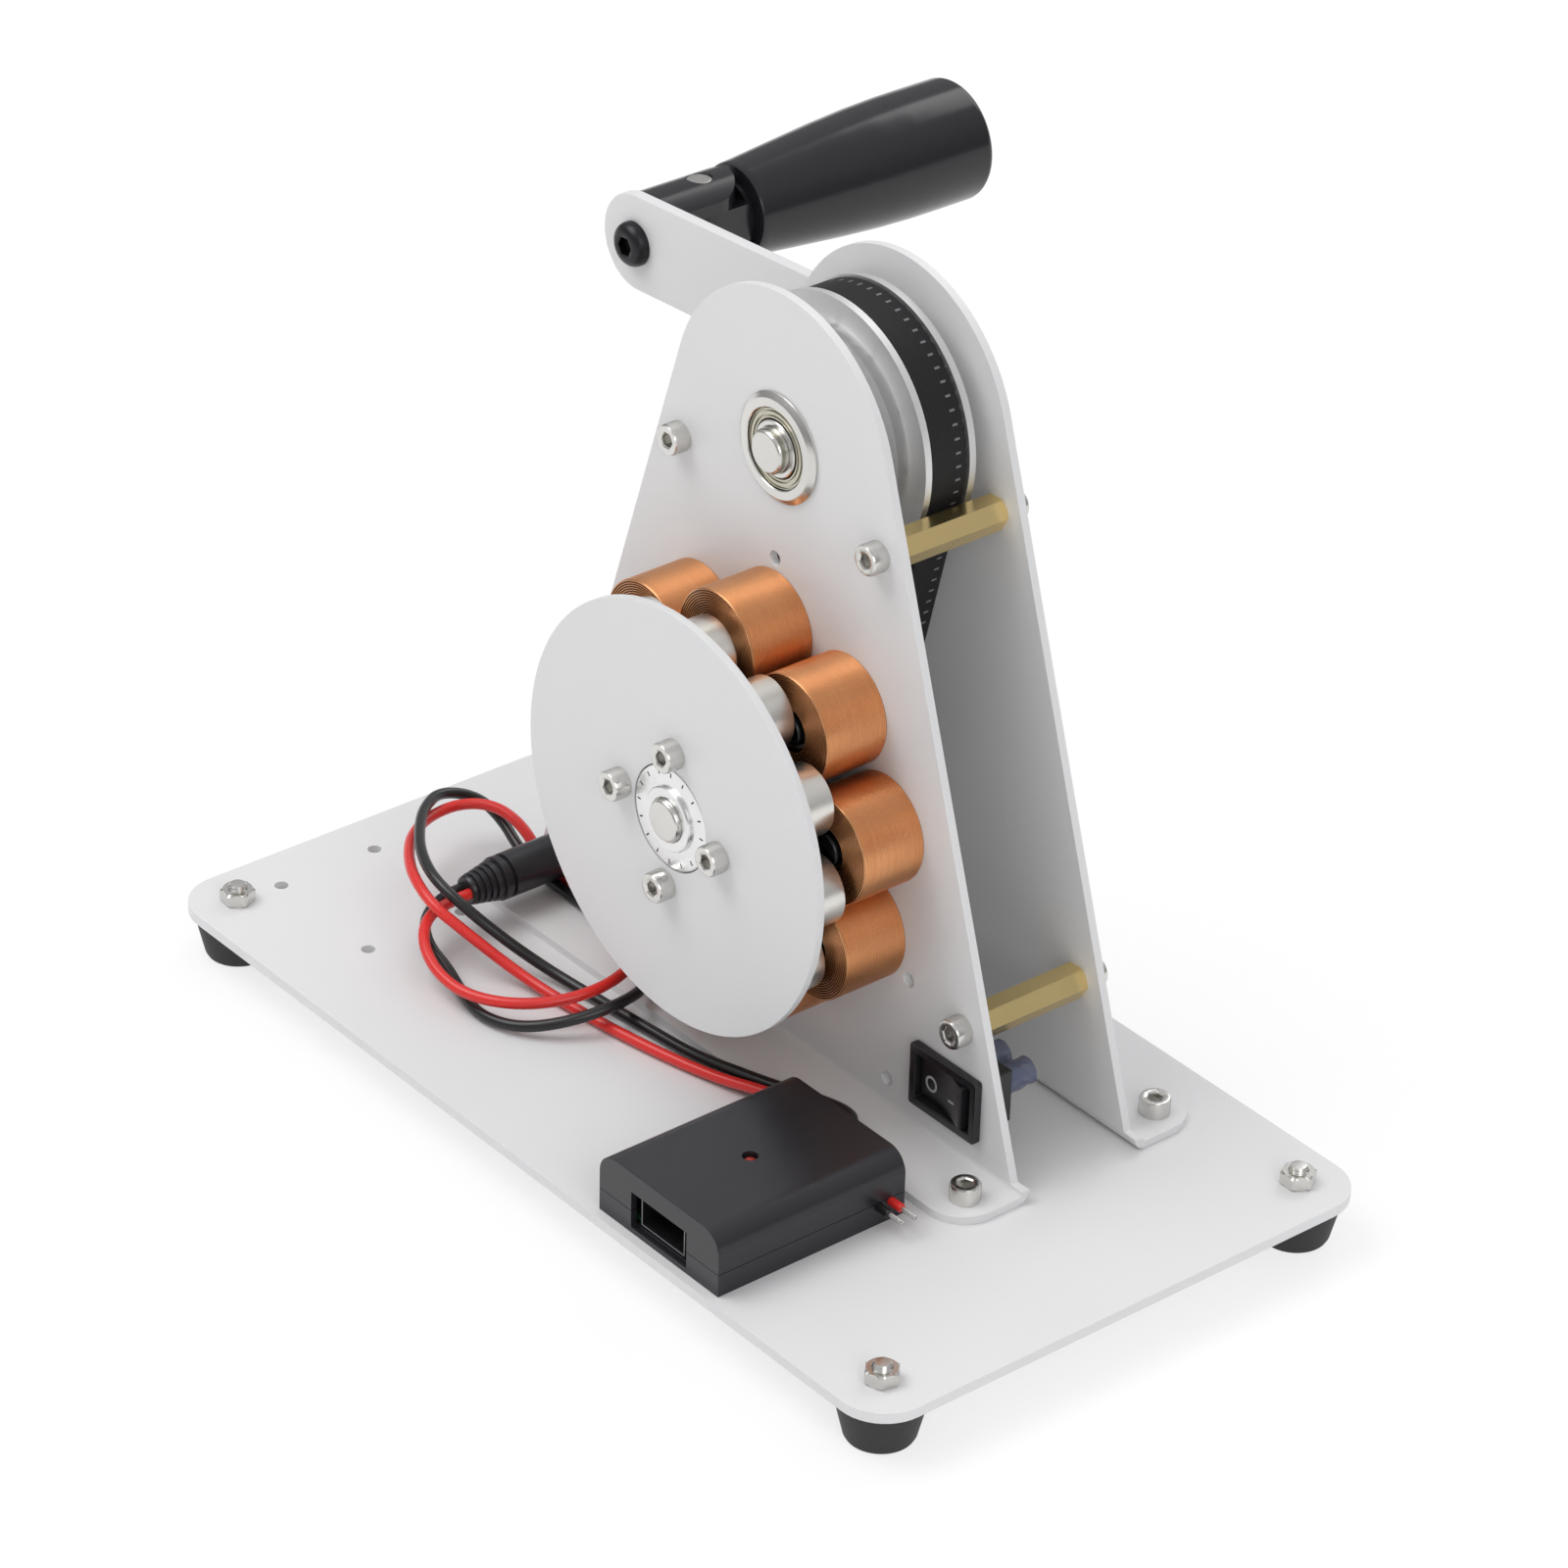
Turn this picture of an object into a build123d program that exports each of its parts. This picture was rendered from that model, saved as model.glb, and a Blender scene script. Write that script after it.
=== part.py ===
"""Hand crank generator on a base plate: a folding crank drives a magnet rotor over nine coils by a toothed belt.

Millimetres. The origin is the centre of the base plate's top face, with +Z up. The long side of the base lies
along X. Both shafts lie along Y, with the magnet rotor on the -Y side and the crank on the +Y side.
"""

import os
from math import asin, atan2, ceil, cos, degrees, hypot, pi, radians, sin, sqrt, tan

from build123d import *

# Clearances
slip_gap = 0.05
thread_gap = 0.12
seat_gap = 0.3

# Round pieces below these radii are drawn with flat sides, to keep their facets few
small_radius = 5.0
small_sides = 10
middle_radius = 9.0
middle_sides = 20

# Base plate, its feet and the spare hole pattern
base_length = 250.0
base_width = 137.0
base_thickness = 2.5
base_corner_radius = 11.0
foot_inset_x = 11.5
foot_inset_y = 11.0
foot_height = 11.0
foot_top_radius = 10.0
foot_bottom_radius = 7.5
foot_edge_chamfer = 1.2
foot_recess_radius = 4.6
foot_recess_depth = 4.5
spare_hole_radius = 1.6
spare_spacing_x = 33.6
spare_spacing_y = 26.0
spare_centre_x = -96.0
spare_centre_y = -33.0

# Fasteners
m4_radius = 2.0
m4_hole_radius = 2.25
m4_head_radius = 3.5
m4_head_height = 4.0
m4_socket_flats = 3.0
m4_socket_depth = 2.2
m4_nut_flats = 7.0
m4_nut_height = 3.2
m4_pan_radius = 4.0
m4_pan_height = 2.6
m4_low_radius = 3.8
m4_low_height = 1.8
m4_low_socket_flats = 2.5
m4_low_socket_depth = 1.0
m4_washer_radius = 4.6
m4_washer_height = 0.8
screw_end = 1.4
m6_radius = 3.0
m6_hole_radius = 3.2
m6_head_radius = 5.25
m6_head_height = 3.3
m6_head_bevel = 1.6
m6_socket_flats = 4.0
m6_socket_depth = 1.8
m6_thread_depth = 12.0
m6_washer_radius = 6.4
m6_washer_height = 1.2
set_screw_radius = 2.0

# Bent plates that carry the bearings
plate_thickness = 2.0
front_plate_y = 5.24
standoff_length = 30.0
standoff_flats = 7.0
plate_half_width = 83.4
plate_arc_radius = 35.2
plate_bend_radius = 1.2
flange_width = 18.0
flange_half_length = 86.0
flange_corner_radius = 9.0
flange_screw_x = 79.0
flange_screw_inset = 9.8
standoff_screw_length = 8.0
upper_standoff_x = 32.8
upper_standoff_z = 132.5
lower_standoff_x = 65.0
lower_standoff_z = 33.3
lead_hole_radius = 1.8
lead_holes = ((-2.3, 117.0), (45.5, 36.3), (39.8, 8.2))

# Shafts and belt drive
shaft_x = -1.66
lower_shaft_z = 63.4
shaft_radius = 5.0
shaft_chamfer = 0.8
shaft_end_reach = 2.5
belt_pitch = 3.0
belt_teeth = 95
large_teeth = 60
small_teeth = 20
belt_width = 9.0
belt_back = 1.2
belt_tooth_height = 1.1
belt_tooth_root = 1.7
belt_tooth_tip = 1.1
pitch_line_offset = 0.38
groove_depth = 1.3
groove_gap = 0.12
pulley_front_y = 19.5
pulley_flange_thickness = 1.7
belt_side_gap = 0.6
large_flange_reach = 1.8
small_flange_reach = 2.6
large_hub_radius = 24.5
large_hub_width = 2.8
pulley_boss_width = 6.2
large_boss_radius = 11.0
small_boss_radius = 8.6

# Flanged ball bearings
bearing_radius = 11.0
bearing_width = 6.0
bearing_flange_radius = 12.5
bearing_flange_thickness = 1.5
outer_race_wall = 1.9
inner_race_wall = 1.4
shield_recess = 0.4

# Rotor
rotor_disc_radius = 49.2
rotor_disc_thickness = 2.0
rotor_front_y = -22.3
rotor_shaft_reach = 2.2
hub_spigot_radius = 12.0
hub_spigot_gap = 0.35
hub_step_radius = 7.5
hub_step_height = 0.9
hub_flange_radius = 22.0
hub_flange_thickness = 5.0
hub_boss_radius = 10.5
hub_boss_length = 9.0
disc_screw_circle_radius = 16.7
disc_screw_angle = 86.0
disc_screw_count = 4
magnet_count = 12
magnet_radius = 8.0
magnet_height = 8.0
magnet_angle = 88.0

# Coils
coil_count = 9
coil_circle_radius = 38.5
coil_first_angle = 90.0
coil_radius = 12.5
coil_length = 16.0
coil_core_radius = 4.9
coil_core_recess = 1.8
coil_lead_radius = 0.45
coil_lead_sides = 4
coil_lead_route = ((-4.0, -6.0, 13.2), (-5.0, -8.6, 6.0), (-7.5, -9.8, 2.6))

# Crank
arm_front_y = 49.5
arm_thickness = 3.0
arm_half_width = 11.5
arm_length = 105.6
arm_droop = 3.95
crank_hub_radius = 9.5
crank_hub_end_gap = 0.4

# Folding handle
fork_radius = 10.8
fork_flat_x = 8.0
fork_base = 7.0
fold_centre = 15.5
fork_slot_half = 4.5
knuckle_radius = 8.0
hinge_pin_radius = 3.0
hinge_pin_inset = 0.4
shoulder_gap = 0.3
shoulder_thickness = 1.2
shoulder_radius = 7.6
spindle_radius = 5.5
spindle_length = 54.0
grip_bore_end_gap = 1.0
grip_length = 65.5
grip_start_radius = 11.2
grip_waist_radius = 11.9
grip_waist_at = 10.0
grip_swell_radius = 13.6
grip_swell_at = 28.0
grip_end_radius = 14.6
grip_end_at = 47.0
grip_bevel = 1.2

# Rocker switch
switch_x = 59.7
switch_z = 15.8
switch_width = 21.4
switch_height = 15.4
switch_bezel = 2.0
switch_bezel_round = 0.8
switch_body_width = 19.0
switch_body_height = 12.8
switch_body_depth = 9.5
rocker_width = 17.0
rocker_height = 10.6
rocker_gap = 0.3
rocker_depth = 5.0
rocker_rise = 2.4
rocker_tilt = 10.0
rocker_pivot_depth = 2.6
terminal_spacing = 8.0
terminal_width = 4.8
terminal_thickness = 0.8
terminal_length = 7.0
sleeve_radius = 3.4
sleeve_wall = 0.5
sleeve_length = 9.0

# USB outlet box
case_x = 31.6
case_front_y = -66.3
case_width = 39.9
case_length = 50.0
case_height = 15.0
case_round = 5.0
case_wall = 1.6
case_split_z = 5.4
case_split_gap = 0.1
port_centre_x = 51.6
port_width = 18.5
port_low_z = 1.3
port_high_z = 10.2
usb_shell_width = 14.6
usb_shell_height = 7.2
usb_shell_length = 14.0
usb_shell_wall = 0.4
usb_shell_setback = 1.2
board_top_z = 2.4
tongue_width = 11.4
tongue_thickness = 2.0
tongue_setback = 5.6
board_thickness = 1.2
board_edge_gap = 0.4
led_x = 52.3
led_y = -42.7
led_hole_radius = 1.8
led_radius = 1.5
cut_wire_radius = 1.0
cut_wire_length = 3.6
tinned_radius = 0.6
tinned_length = 4.6
cut_wire_y = -20.0
cut_wire_pitch = 3.4
cut_wire_z = 4.6

# Panel jack, barrel plug and twin cable
jack_x = -72.3
jack_z = 10.5
jack_thread_radius = 4.0
jack_body_radius = 5.6
jack_body_length = 12.0
jack_nut_flats = 10.0
jack_nut_thickness = 2.0
plug_radius = 5.2
plug_body_length = 18.8
plug_seat_gap = 0.3
plug_tail_length = 8.2
plug_tail_radius = 3.4
plug_groove_width = 0.9
plug_groove_depth = 0.8
plug_barrel_radius = 2.75
plug_barrel_length = 9.0
wire_radius = 1.3
wire_sides = 6
black_exit_run = 5.0
red_exit_run = 4.0
plug_exit_run = 6.0
wire_exit_half = 1.5
wire_exit_x = 45.4
wire_exit_z = 5.6

# Worked out once for several pieces
rear_plate_y = front_plate_y + plate_thickness + standoff_length
rear_plate_back_y = rear_plate_y + plate_thickness
front_bearing_y = front_plate_y - bearing_flange_thickness
rear_bearing_y = rear_plate_back_y + bearing_flange_thickness
coil_front_y = front_plate_y - coil_length
disc_back_y = rotor_front_y + rotor_disc_thickness
case_back_y = case_front_y + case_length
plug_tail_y = front_plate_y - jack_nut_thickness - plug_seat_gap - plug_body_length - plug_tail_length


def pitch_radius(teeth):
    """Radius of the pitch circle of a pulley with so many teeth."""
    return belt_pitch * teeth / (2 * pi)


def belt_length_at(distance):
    """Pitch length of the belt round both pulleys at a centre distance."""
    lean = asin((pitch_radius(large_teeth) - pitch_radius(small_teeth)) / distance)
    straight = 2 * distance * cos(lean)
    large_arc = pitch_radius(large_teeth) * (pi + 2 * lean)
    return straight + large_arc + pitch_radius(small_teeth) * (pi - 2 * lean)


def shaft_distance():
    """Centre distance that takes the belt up exactly, by halving the interval."""
    low = pitch_radius(large_teeth) + pitch_radius(small_teeth)
    high = belt_pitch * belt_teeth
    for _ in range(60):
        middle = (low + high) / 2
        if belt_length_at(middle) < belt_pitch * belt_teeth:
            low = middle
        else:
            high = middle
    return (low + high) / 2


shaft_spacing = shaft_distance()
upper_shaft_z = lower_shaft_z + shaft_spacing
belt_lean = asin((pitch_radius(large_teeth) - pitch_radius(small_teeth)) / shaft_spacing)


def ring_points(count, radius, first_angle, step):
    """(x, z) of evenly stepped places on a circle about the lower shaft, going clockwise seen from -Y."""
    angles = [radians(first_angle - step * i) for i in range(count)]
    return [(shaft_x + radius * cos(a), lower_shaft_z + radius * sin(a)) for a in angles]


def turned_y(x, z, profile):
    """Solid turned about an axis along Y, from (radius, y) points of its half section."""
    face = make_face(Polyline(*profile, close=True))
    return Pos(x, 0, z) * revolve(face, Axis.Y)


def turned_z(x, y, profile):
    """Solid turned about an axis along Z, from (radius, z) points of its half section."""
    face = make_face(Plane.XZ * Polyline(*profile, close=True))
    return Pos(x, y, 0) * revolve(face, Axis.Z)


def disc(radius):
    """Round outline, with flat sides below the radii named at the top."""
    if radius < small_radius:
        return RegularPolygon(radius, small_sides)
    return RegularPolygon(radius, middle_sides) if radius < middle_radius else Circle(radius)


def rod_y(x, z, y_low, y_high, radius):
    """Rod along Y between two stations."""
    return prism_y(x, z, y_low, y_high, disc(radius))


def rod_z(x, y, z_low, z_high, radius):
    """Rod along Z between two heights."""
    return Pos(x, y, z_low) * extrude(disc(radius), z_high - z_low)


def rod_x(x_low, x_high, y, z, radius):
    """Rod along X between two stations."""
    return Pos(x_low, y, z) * extrude(Plane.YZ * disc(radius), x_high - x_low)


def tube_y(x, z, y_low, y_high, radius, bore):
    """Tube along Y between two stations."""
    return prism_y(x, z, y_low, y_high, disc(radius) - disc(bore))


def round_tube_y(x, z, y_low, y_high, radius, bore):
    """Tube along Y between two stations, truly round for a running fit or a fit on a shaft."""
    return prism_y(x, z, y_low, y_high, Circle(radius) - Circle(bore))


def block(x_low, x_high, y_low, y_high, z_low, z_high):
    """Box between two corners."""
    centre = Pos((x_low + x_high) / 2, (y_low + y_high) / 2, (z_low + z_high) / 2)
    return centre * Box(x_high - x_low, y_high - y_low, z_high - z_low)


def prism_y(x, z, y_low, y_high, outline):
    """Outline drawn in X and Z, extruded along +Y from y_low to y_high."""
    return Pos(x, y_high, z) * extrude(Plane.XZ * outline, y_high - y_low)


def hexagon(flats):
    """Hexagon outline with a size across flats, one flat at the top."""
    return RegularPolygon(flats / 2, 6, major_radius=False)


def cap_screw(length, head_radius, head_height, socket_flats, socket_depth, radius=m4_radius):
    """Socket head screw along Z with the seat of its head at the origin and its shank below."""
    head = rod_z(0, 0, 0, head_height, head_radius)
    socket = Pos(0, 0, head_height - socket_depth) * extrude(hexagon(socket_flats), socket_depth)
    return head - socket + rod_z(0, 0, -length, 0, radius)


def m4_cap_screw(length):
    """M4 socket cap screw."""
    return cap_screw(length, m4_head_radius, m4_head_height, m4_socket_flats, m4_socket_depth)


def button_screw(length):
    """M6 screw with a bevelled head, its seat at the origin and its shank below."""
    flank = m6_head_height - m6_head_bevel
    bevel = Pos(0, 0, flank) * extrude(disc(m6_head_radius), m6_head_bevel, taper=45)
    head = rod_z(0, 0, 0, flank, m6_head_radius) + bevel
    socket = Pos(0, 0, m6_head_height - m6_socket_depth) * extrude(hexagon(m6_socket_flats), m6_socket_depth)
    return head - socket + rod_z(0, 0, -length, 0, m6_radius)


def nut(flats, height, bore):
    """Hexagon nut standing on the origin."""
    return extrude(hexagon(flats) - disc(bore), height)


# Turns a piece made along +Z so that +Z points to -Y or to +Y.
FACING_FRONT = Rot(90, 0, 0)
FACING_BACK = Rot(-90, 0, 0)


def foot_places():
    """(x, y) of the four feet."""
    x = base_length / 2 - foot_inset_x
    y = base_width / 2 - foot_inset_y
    return [(x, y), (x, -y), (-x, y), (-x, -y)]


def flange_screw_places():
    """(x, y) of the screws that hold both bent plates to the base."""
    front = front_plate_y - flange_screw_inset
    rear = rear_plate_back_y + flange_screw_inset
    return [(shaft_x + side * flange_screw_x, y) for y in (front, rear) for side in (-1, 1)]


def standoff_places():
    """(x, z) of the standoffs between the plates."""
    pairs = ((upper_standoff_x, upper_standoff_z), (lower_standoff_x, lower_standoff_z))
    return [(shaft_x + side * x, z) for x, z in pairs for side in (-1, 1)]


def base_plate():
    """Flat plate with rounded corners, screw holes and a spare four hole pattern."""
    outline = RectangleRounded(base_length, base_width, base_corner_radius)
    for x, y in foot_places() + flange_screw_places():
        outline -= Pos(x, y) * disc(m4_hole_radius)
    spare = GridLocations(spare_spacing_x, spare_spacing_y, 2, 2)
    outline -= Pos(spare_centre_x, spare_centre_y) * spare * Circle(spare_hole_radius)
    return Pos(0, 0, -base_thickness) * extrude(outline, base_thickness)


def rubber_foot():
    """Tapered foot with a recess for its screw head, its top at the origin."""
    rim_z = foot_edge_chamfer - foot_height
    profile = [
        (0, 0), (foot_top_radius, 0), (foot_bottom_radius, rim_z),
        (foot_bottom_radius - foot_edge_chamfer, -foot_height), (0, -foot_height),
    ]
    recess = rod_z(0, 0, -foot_height, foot_recess_depth - foot_height, foot_recess_radius)
    return turned_z(0, 0, profile) - recess - rod_z(0, 0, -foot_height, 0, m4_hole_radius)


def rubber_feet():
    """Four feet under the base."""
    foot = Pos(0, 0, -base_thickness) * rubber_foot()
    return [Pos(x, y, 0) * foot for x, y in foot_places()]


def foot_screws():
    """Pan head screws that come up through the feet and the base."""
    seat_z = foot_recess_depth - foot_height - base_thickness
    length = m4_nut_height + screw_end - seat_z
    screw = Rot(180, 0, 0) * cap_screw(length, m4_pan_radius, m4_pan_height, m4_socket_flats, m4_low_socket_depth)
    return [Pos(x, y, seat_z) * screw for x, y in foot_places()]


def foot_nuts():
    """Nuts on the base over the feet."""
    piece = nut(m4_nut_flats, m4_nut_height, m4_radius + thread_gap)
    return [Pos(x, y, 0) * Rot(0, 0, 17 * i) * piece for i, (x, y) in enumerate(foot_places())]


def plate_outline():
    """Outline of a bent plate in X and Z about the upper shaft's X: a round top on straight leaning sides."""
    reach = hypot(plate_half_width, upper_shaft_z)
    lean = atan2(upper_shaft_z, -plate_half_width) - asin(plate_arc_radius / reach)
    side = sqrt(reach**2 - plate_arc_radius**2)
    touch_x = plate_half_width + side * cos(lean)
    touch_z = side * sin(lean)
    sides = Polyline((-touch_x, touch_z), (-plate_half_width, 0), (plate_half_width, 0), (touch_x, touch_z))
    top = ThreePointArc((touch_x, touch_z), (0, upper_shaft_z + plate_arc_radius), (-touch_x, touch_z))
    return make_face(sides + top)


def bent_plate():
    """Plate with its foot flange toward -Y and its outer face at y = 0, without holes."""
    bend_outer = plate_bend_radius + plate_thickness
    flange_end = block(
        -flange_half_length, flange_half_length, -flange_width, plate_thickness, 0, bend_outer
    )
    corners = flange_end.edges().filter_by(Axis.Z).group_by(Axis.Y)[0]
    allowed = fillet(corners, flange_corner_radius) + prism_y(0, 0, 0, plate_thickness, plate_outline())
    section = Polyline(
        (-flange_width, 0),
        (plate_thickness, 0),
        (plate_thickness, upper_shaft_z + plate_arc_radius),
        (0, upper_shaft_z + plate_arc_radius),
        (0, plate_thickness),
        (-flange_width, plate_thickness),
        close=True,
    )
    angle = extrude(make_face(Plane.YZ * section), flange_half_length, both=True)
    lines = angle.edges().filter_by(Axis.X)
    inner = lines.filter_by_position(Axis.Y, -slip_gap, slip_gap).sort_by(Axis.Z)[0]
    angle = fillet(inner, plate_bend_radius)
    lines = angle.edges().filter_by(Axis.X)
    outer = lines.filter_by_position(Axis.Z, -slip_gap, slip_gap).sort_by(Axis.Y)[-1]
    return fillet(outer, bend_outer) & allowed


def plate_holes(y_low, y_high):
    """Bearing seats, standoff holes and flange screw holes as cutters between two stations."""
    cutters = [
        rod_y(shaft_x, z, y_low, y_high, bearing_radius + slip_gap) for z in (lower_shaft_z, upper_shaft_z)
    ]
    cutters += [rod_y(x, z, y_low, y_high, m4_hole_radius) for x, z in standoff_places()]
    return cutters + [rod_z(x, y, 0, plate_thickness, m4_hole_radius) for x, y in flange_screw_places()]


def coil_places():
    """(x, z) of the coils round the lower shaft."""
    return ring_points(coil_count, coil_circle_radius, coil_first_angle, 360 / coil_count)


def front_plate():
    """Front bent plate with the coil screw holes, the switch cut-out, the jack hole and three lead holes."""
    back_y = front_plate_y + plate_thickness
    cutters = plate_holes(front_plate_y, back_y)
    cutters += [rod_y(x, z, front_plate_y, back_y, m4_hole_radius) for x, z in coil_places()]
    cutters += [rod_y(x, z, front_plate_y, back_y, lead_hole_radius) for x, z in lead_holes]
    cutters.append(prism_y(jack_x, jack_z, front_plate_y, back_y, Circle(jack_thread_radius + slip_gap)))
    half_x = switch_body_width / 2 + slip_gap
    half_z = switch_body_height / 2 + slip_gap
    cutters.append(
        block(
            switch_x - half_x, switch_x + half_x, front_plate_y, back_y, switch_z - half_z, switch_z + half_z
        )
    )
    return Pos(shaft_x, front_plate_y, 0) * bent_plate() - cutters


def rear_plate():
    """Rear bent plate, the mirror image of the front one in Y."""
    plate = Pos(shaft_x, rear_plate_back_y, 0) * mirror(bent_plate(), Plane.XZ)
    return plate - plate_holes(rear_plate_y, rear_plate_back_y)


def plate_foot_screws():
    """Cap screws that hold the plates' flanges to the base."""
    length = plate_thickness + base_thickness + m4_nut_height + screw_end
    return [Pos(x, y, plate_thickness) * m4_cap_screw(length) for x, y in flange_screw_places()]


def plate_foot_nuts():
    """Nuts under the base for the flange screws."""
    piece = nut(m4_nut_flats, m4_nut_height, m4_radius + thread_gap)
    return [Pos(x, y, -base_thickness - m4_nut_height) * piece for x, y in flange_screw_places()]


def standoffs():
    """Hexagonal spacers with a threaded bore right through."""
    front = front_plate_y + plate_thickness
    outline = hexagon(standoff_flats) - disc(m4_radius + thread_gap)
    return [prism_y(x, z, front, rear_plate_y, outline) for x, z in standoff_places()]


def standoff_screws(y, facing):
    """Cap screws into the standoffs from one side."""
    return [Pos(x, y, z) * facing * m4_cap_screw(standoff_screw_length) for x, z in standoff_places()]


def bearing_stations():
    """(flange face y, direction into the plate) of the front and rear bearings."""
    return ((front_bearing_y, 1), (rear_bearing_y, -1))


def outer_race(z, y, inward):
    """Outer race with its flange on the plate's outer face."""
    bore = bearing_radius - outer_race_wall
    shoulder = y + inward * bearing_flange_thickness
    end = y + inward * bearing_width
    profile = [
        (bore, y), (bearing_flange_radius, y), (bearing_flange_radius, shoulder),
        (bearing_radius, shoulder), (bearing_radius, end), (bore, end),
    ]
    return turned_y(shaft_x, z, profile)


def race_rings(z, inner, outer, recess):
    """One ring in each bearing of a shaft, set back from both faces by a recess."""
    rings = []
    for y, inward in bearing_stations():
        low, high = sorted((y + inward * recess, y + inward * (bearing_width - recess)))
        rings.append(round_tube_y(shaft_x, z, low, high, outer, inner))
    return rings


def bearing_outer_races():
    """Outer races of all four bearings."""
    heights = (lower_shaft_z, upper_shaft_z)
    return [outer_race(z, y, inward) for z in heights for y, inward in bearing_stations()]


def inner_races(z):
    """Inner races on one shaft."""
    return race_rings(z, shaft_radius + slip_gap, shaft_radius + inner_race_wall, 0)


def bearing_shields():
    """Shields with the balls between them, closed up as one ring in each bearing."""
    inner = shaft_radius + inner_race_wall + 2 * slip_gap
    outer = bearing_radius - outer_race_wall
    heights = (lower_shaft_z, upper_shaft_z)
    return [ring for z in heights for ring in race_rings(z, inner, outer, shield_recess)]


def shaft(z, y_front, y_back):
    """Round shaft with chamfered ends."""
    tip = shaft_radius - shaft_chamfer
    profile = [
        (0, y_front), (tip, y_front), (shaft_radius, y_front + shaft_chamfer),
        (shaft_radius, y_back - shaft_chamfer), (tip, y_back), (0, y_back),
    ]
    return turned_y(shaft_x, z, profile)


def crank_shaft():
    """Upper shaft, tapped at its rear end for the arm's screw."""
    tapped = rod_y(shaft_x, upper_shaft_z, arm_front_y - m6_thread_depth, arm_front_y, m6_radius + thread_gap)
    return shaft(upper_shaft_z, front_bearing_y - shaft_end_reach, arm_front_y) - tapped


def rotor_shaft():
    """Lower shaft."""
    return shaft(lower_shaft_z, rotor_front_y - rotor_shaft_reach, rear_bearing_y + shaft_end_reach)


def tooth_outline(root_width, tip_width, radius, depth):
    """Trapezoid tooth or groove on the +X axis, wide at a radius and narrow nearer the centre."""
    inner = radius - depth
    return make_face(
        Polyline(
            (radius, -root_width / 2), (inner, -tip_width / 2),
            (inner, tip_width / 2), (radius, root_width / 2),
            close=True,
        )
    )


def groove_phase(teeth):
    """Angle of one groove of a pulley in degrees, so that it meets a tooth of the belt at rest."""
    large_start = -degrees(belt_lean)
    if teeth == large_teeth:
        return large_start
    large_arc = pitch_radius(large_teeth) * (pi + 2 * belt_lean)
    arc_start = large_arc + shaft_spacing * cos(belt_lean)
    first = ceil(arc_start / belt_pitch) * belt_pitch - arc_start
    return 180 + degrees(belt_lean) + degrees(first / pitch_radius(small_teeth))


def belt_track_y():
    """Stations of the toothed width of both pulleys."""
    low = pulley_front_y + pulley_flange_thickness
    return low, low + belt_width + 2 * belt_side_gap


def toothed_rim(z, teeth):
    """Toothed width of a pulley, its grooves open at the tip circle."""
    tip = pitch_radius(teeth) - pitch_line_offset
    overshoot = belt_back
    top = belt_tooth_root + 2 * groove_gap
    bottom = belt_tooth_tip + 2 * groove_gap
    slope = (top - bottom) / groove_depth
    groove = tooth_outline(top + slope * overshoot, bottom, tip + overshoot, groove_depth + overshoot)
    start = groove_phase(teeth)
    cuts = [Rot(0, 0, start + 360 / teeth * i) * groove for i in range(teeth)]
    low, high = belt_track_y()
    return prism_y(shaft_x, z, low, high, Circle(tip) - cuts)


def set_screw(z, y, radius, angle, short=0.0):
    """Radial rod from a shaft's surface to a boss's surface, or short of it: a tapped hole or its screw."""
    rod = rod_x(shaft_radius, radius - short, 0, 0, set_screw_radius)
    return Pos(shaft_x, y, z) * Rot(0, -angle, 0) * rod


def set_screw_pair(z, y, radius, angle):
    """Two set screws a quarter turn apart."""
    return [set_screw(z, y, radius, angle + turn, seat_gap) for turn in (0, 90)]


def pulley(z, teeth, flange_radius, steps, screw_angle):
    """Toothed pulley with two flanges. The steps of its hub are (radius, front, back), the boss with two set
    screw holes first."""
    low, high = belt_track_y()
    bore = shaft_radius + slip_gap
    boss_radius, boss_front, _ = steps[0]
    rim = toothed_rim(z, teeth) - prism_y(shaft_x, z, low, high, Circle(bore))
    hub_profile = [corner for radius, front, back in steps for corner in ((radius, front), (radius, back))]
    flange_profile = [(flange_radius, pulley_front_y), (flange_radius, low), (bore, low)]
    front = turned_y(shaft_x, z, [(bore, boss_front)] + hub_profile + flange_profile)
    back = round_tube_y(shaft_x, z, high, high + pulley_flange_thickness, flange_radius, bore)
    holes = [
        set_screw(z, boss_front + pulley_boss_width / 2, boss_radius + slip_gap, screw_angle + turn)
        for turn in (0, 90)
    ]
    return rim + front + back - holes


large_flange_radius = pitch_radius(large_teeth) - pitch_line_offset + large_flange_reach
small_flange_radius = pitch_radius(small_teeth) - pitch_line_offset + small_flange_reach
large_boss_y = pulley_front_y - large_hub_width - pulley_boss_width / 2
small_boss_y = pulley_front_y - pulley_boss_width / 2
large_screw_angle = 60.0
small_screw_angle = 20.0


def large_pulley():
    """Pulley on the crank shaft, with a wide hub between its boss and its front flange."""
    hub_front = pulley_front_y - large_hub_width
    boss = (large_boss_radius, hub_front - pulley_boss_width, hub_front)
    hub = (large_hub_radius, hub_front, pulley_front_y)
    return pulley(upper_shaft_z, large_teeth, large_flange_radius, [boss, hub], large_screw_angle)


def small_pulley():
    """Pulley on the rotor shaft, whose boss follows its front flange directly."""
    boss = (small_boss_radius, pulley_front_y - pulley_boss_width, pulley_front_y)
    return pulley(lower_shaft_z, small_teeth, small_flange_radius, [boss], small_screw_angle)


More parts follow.
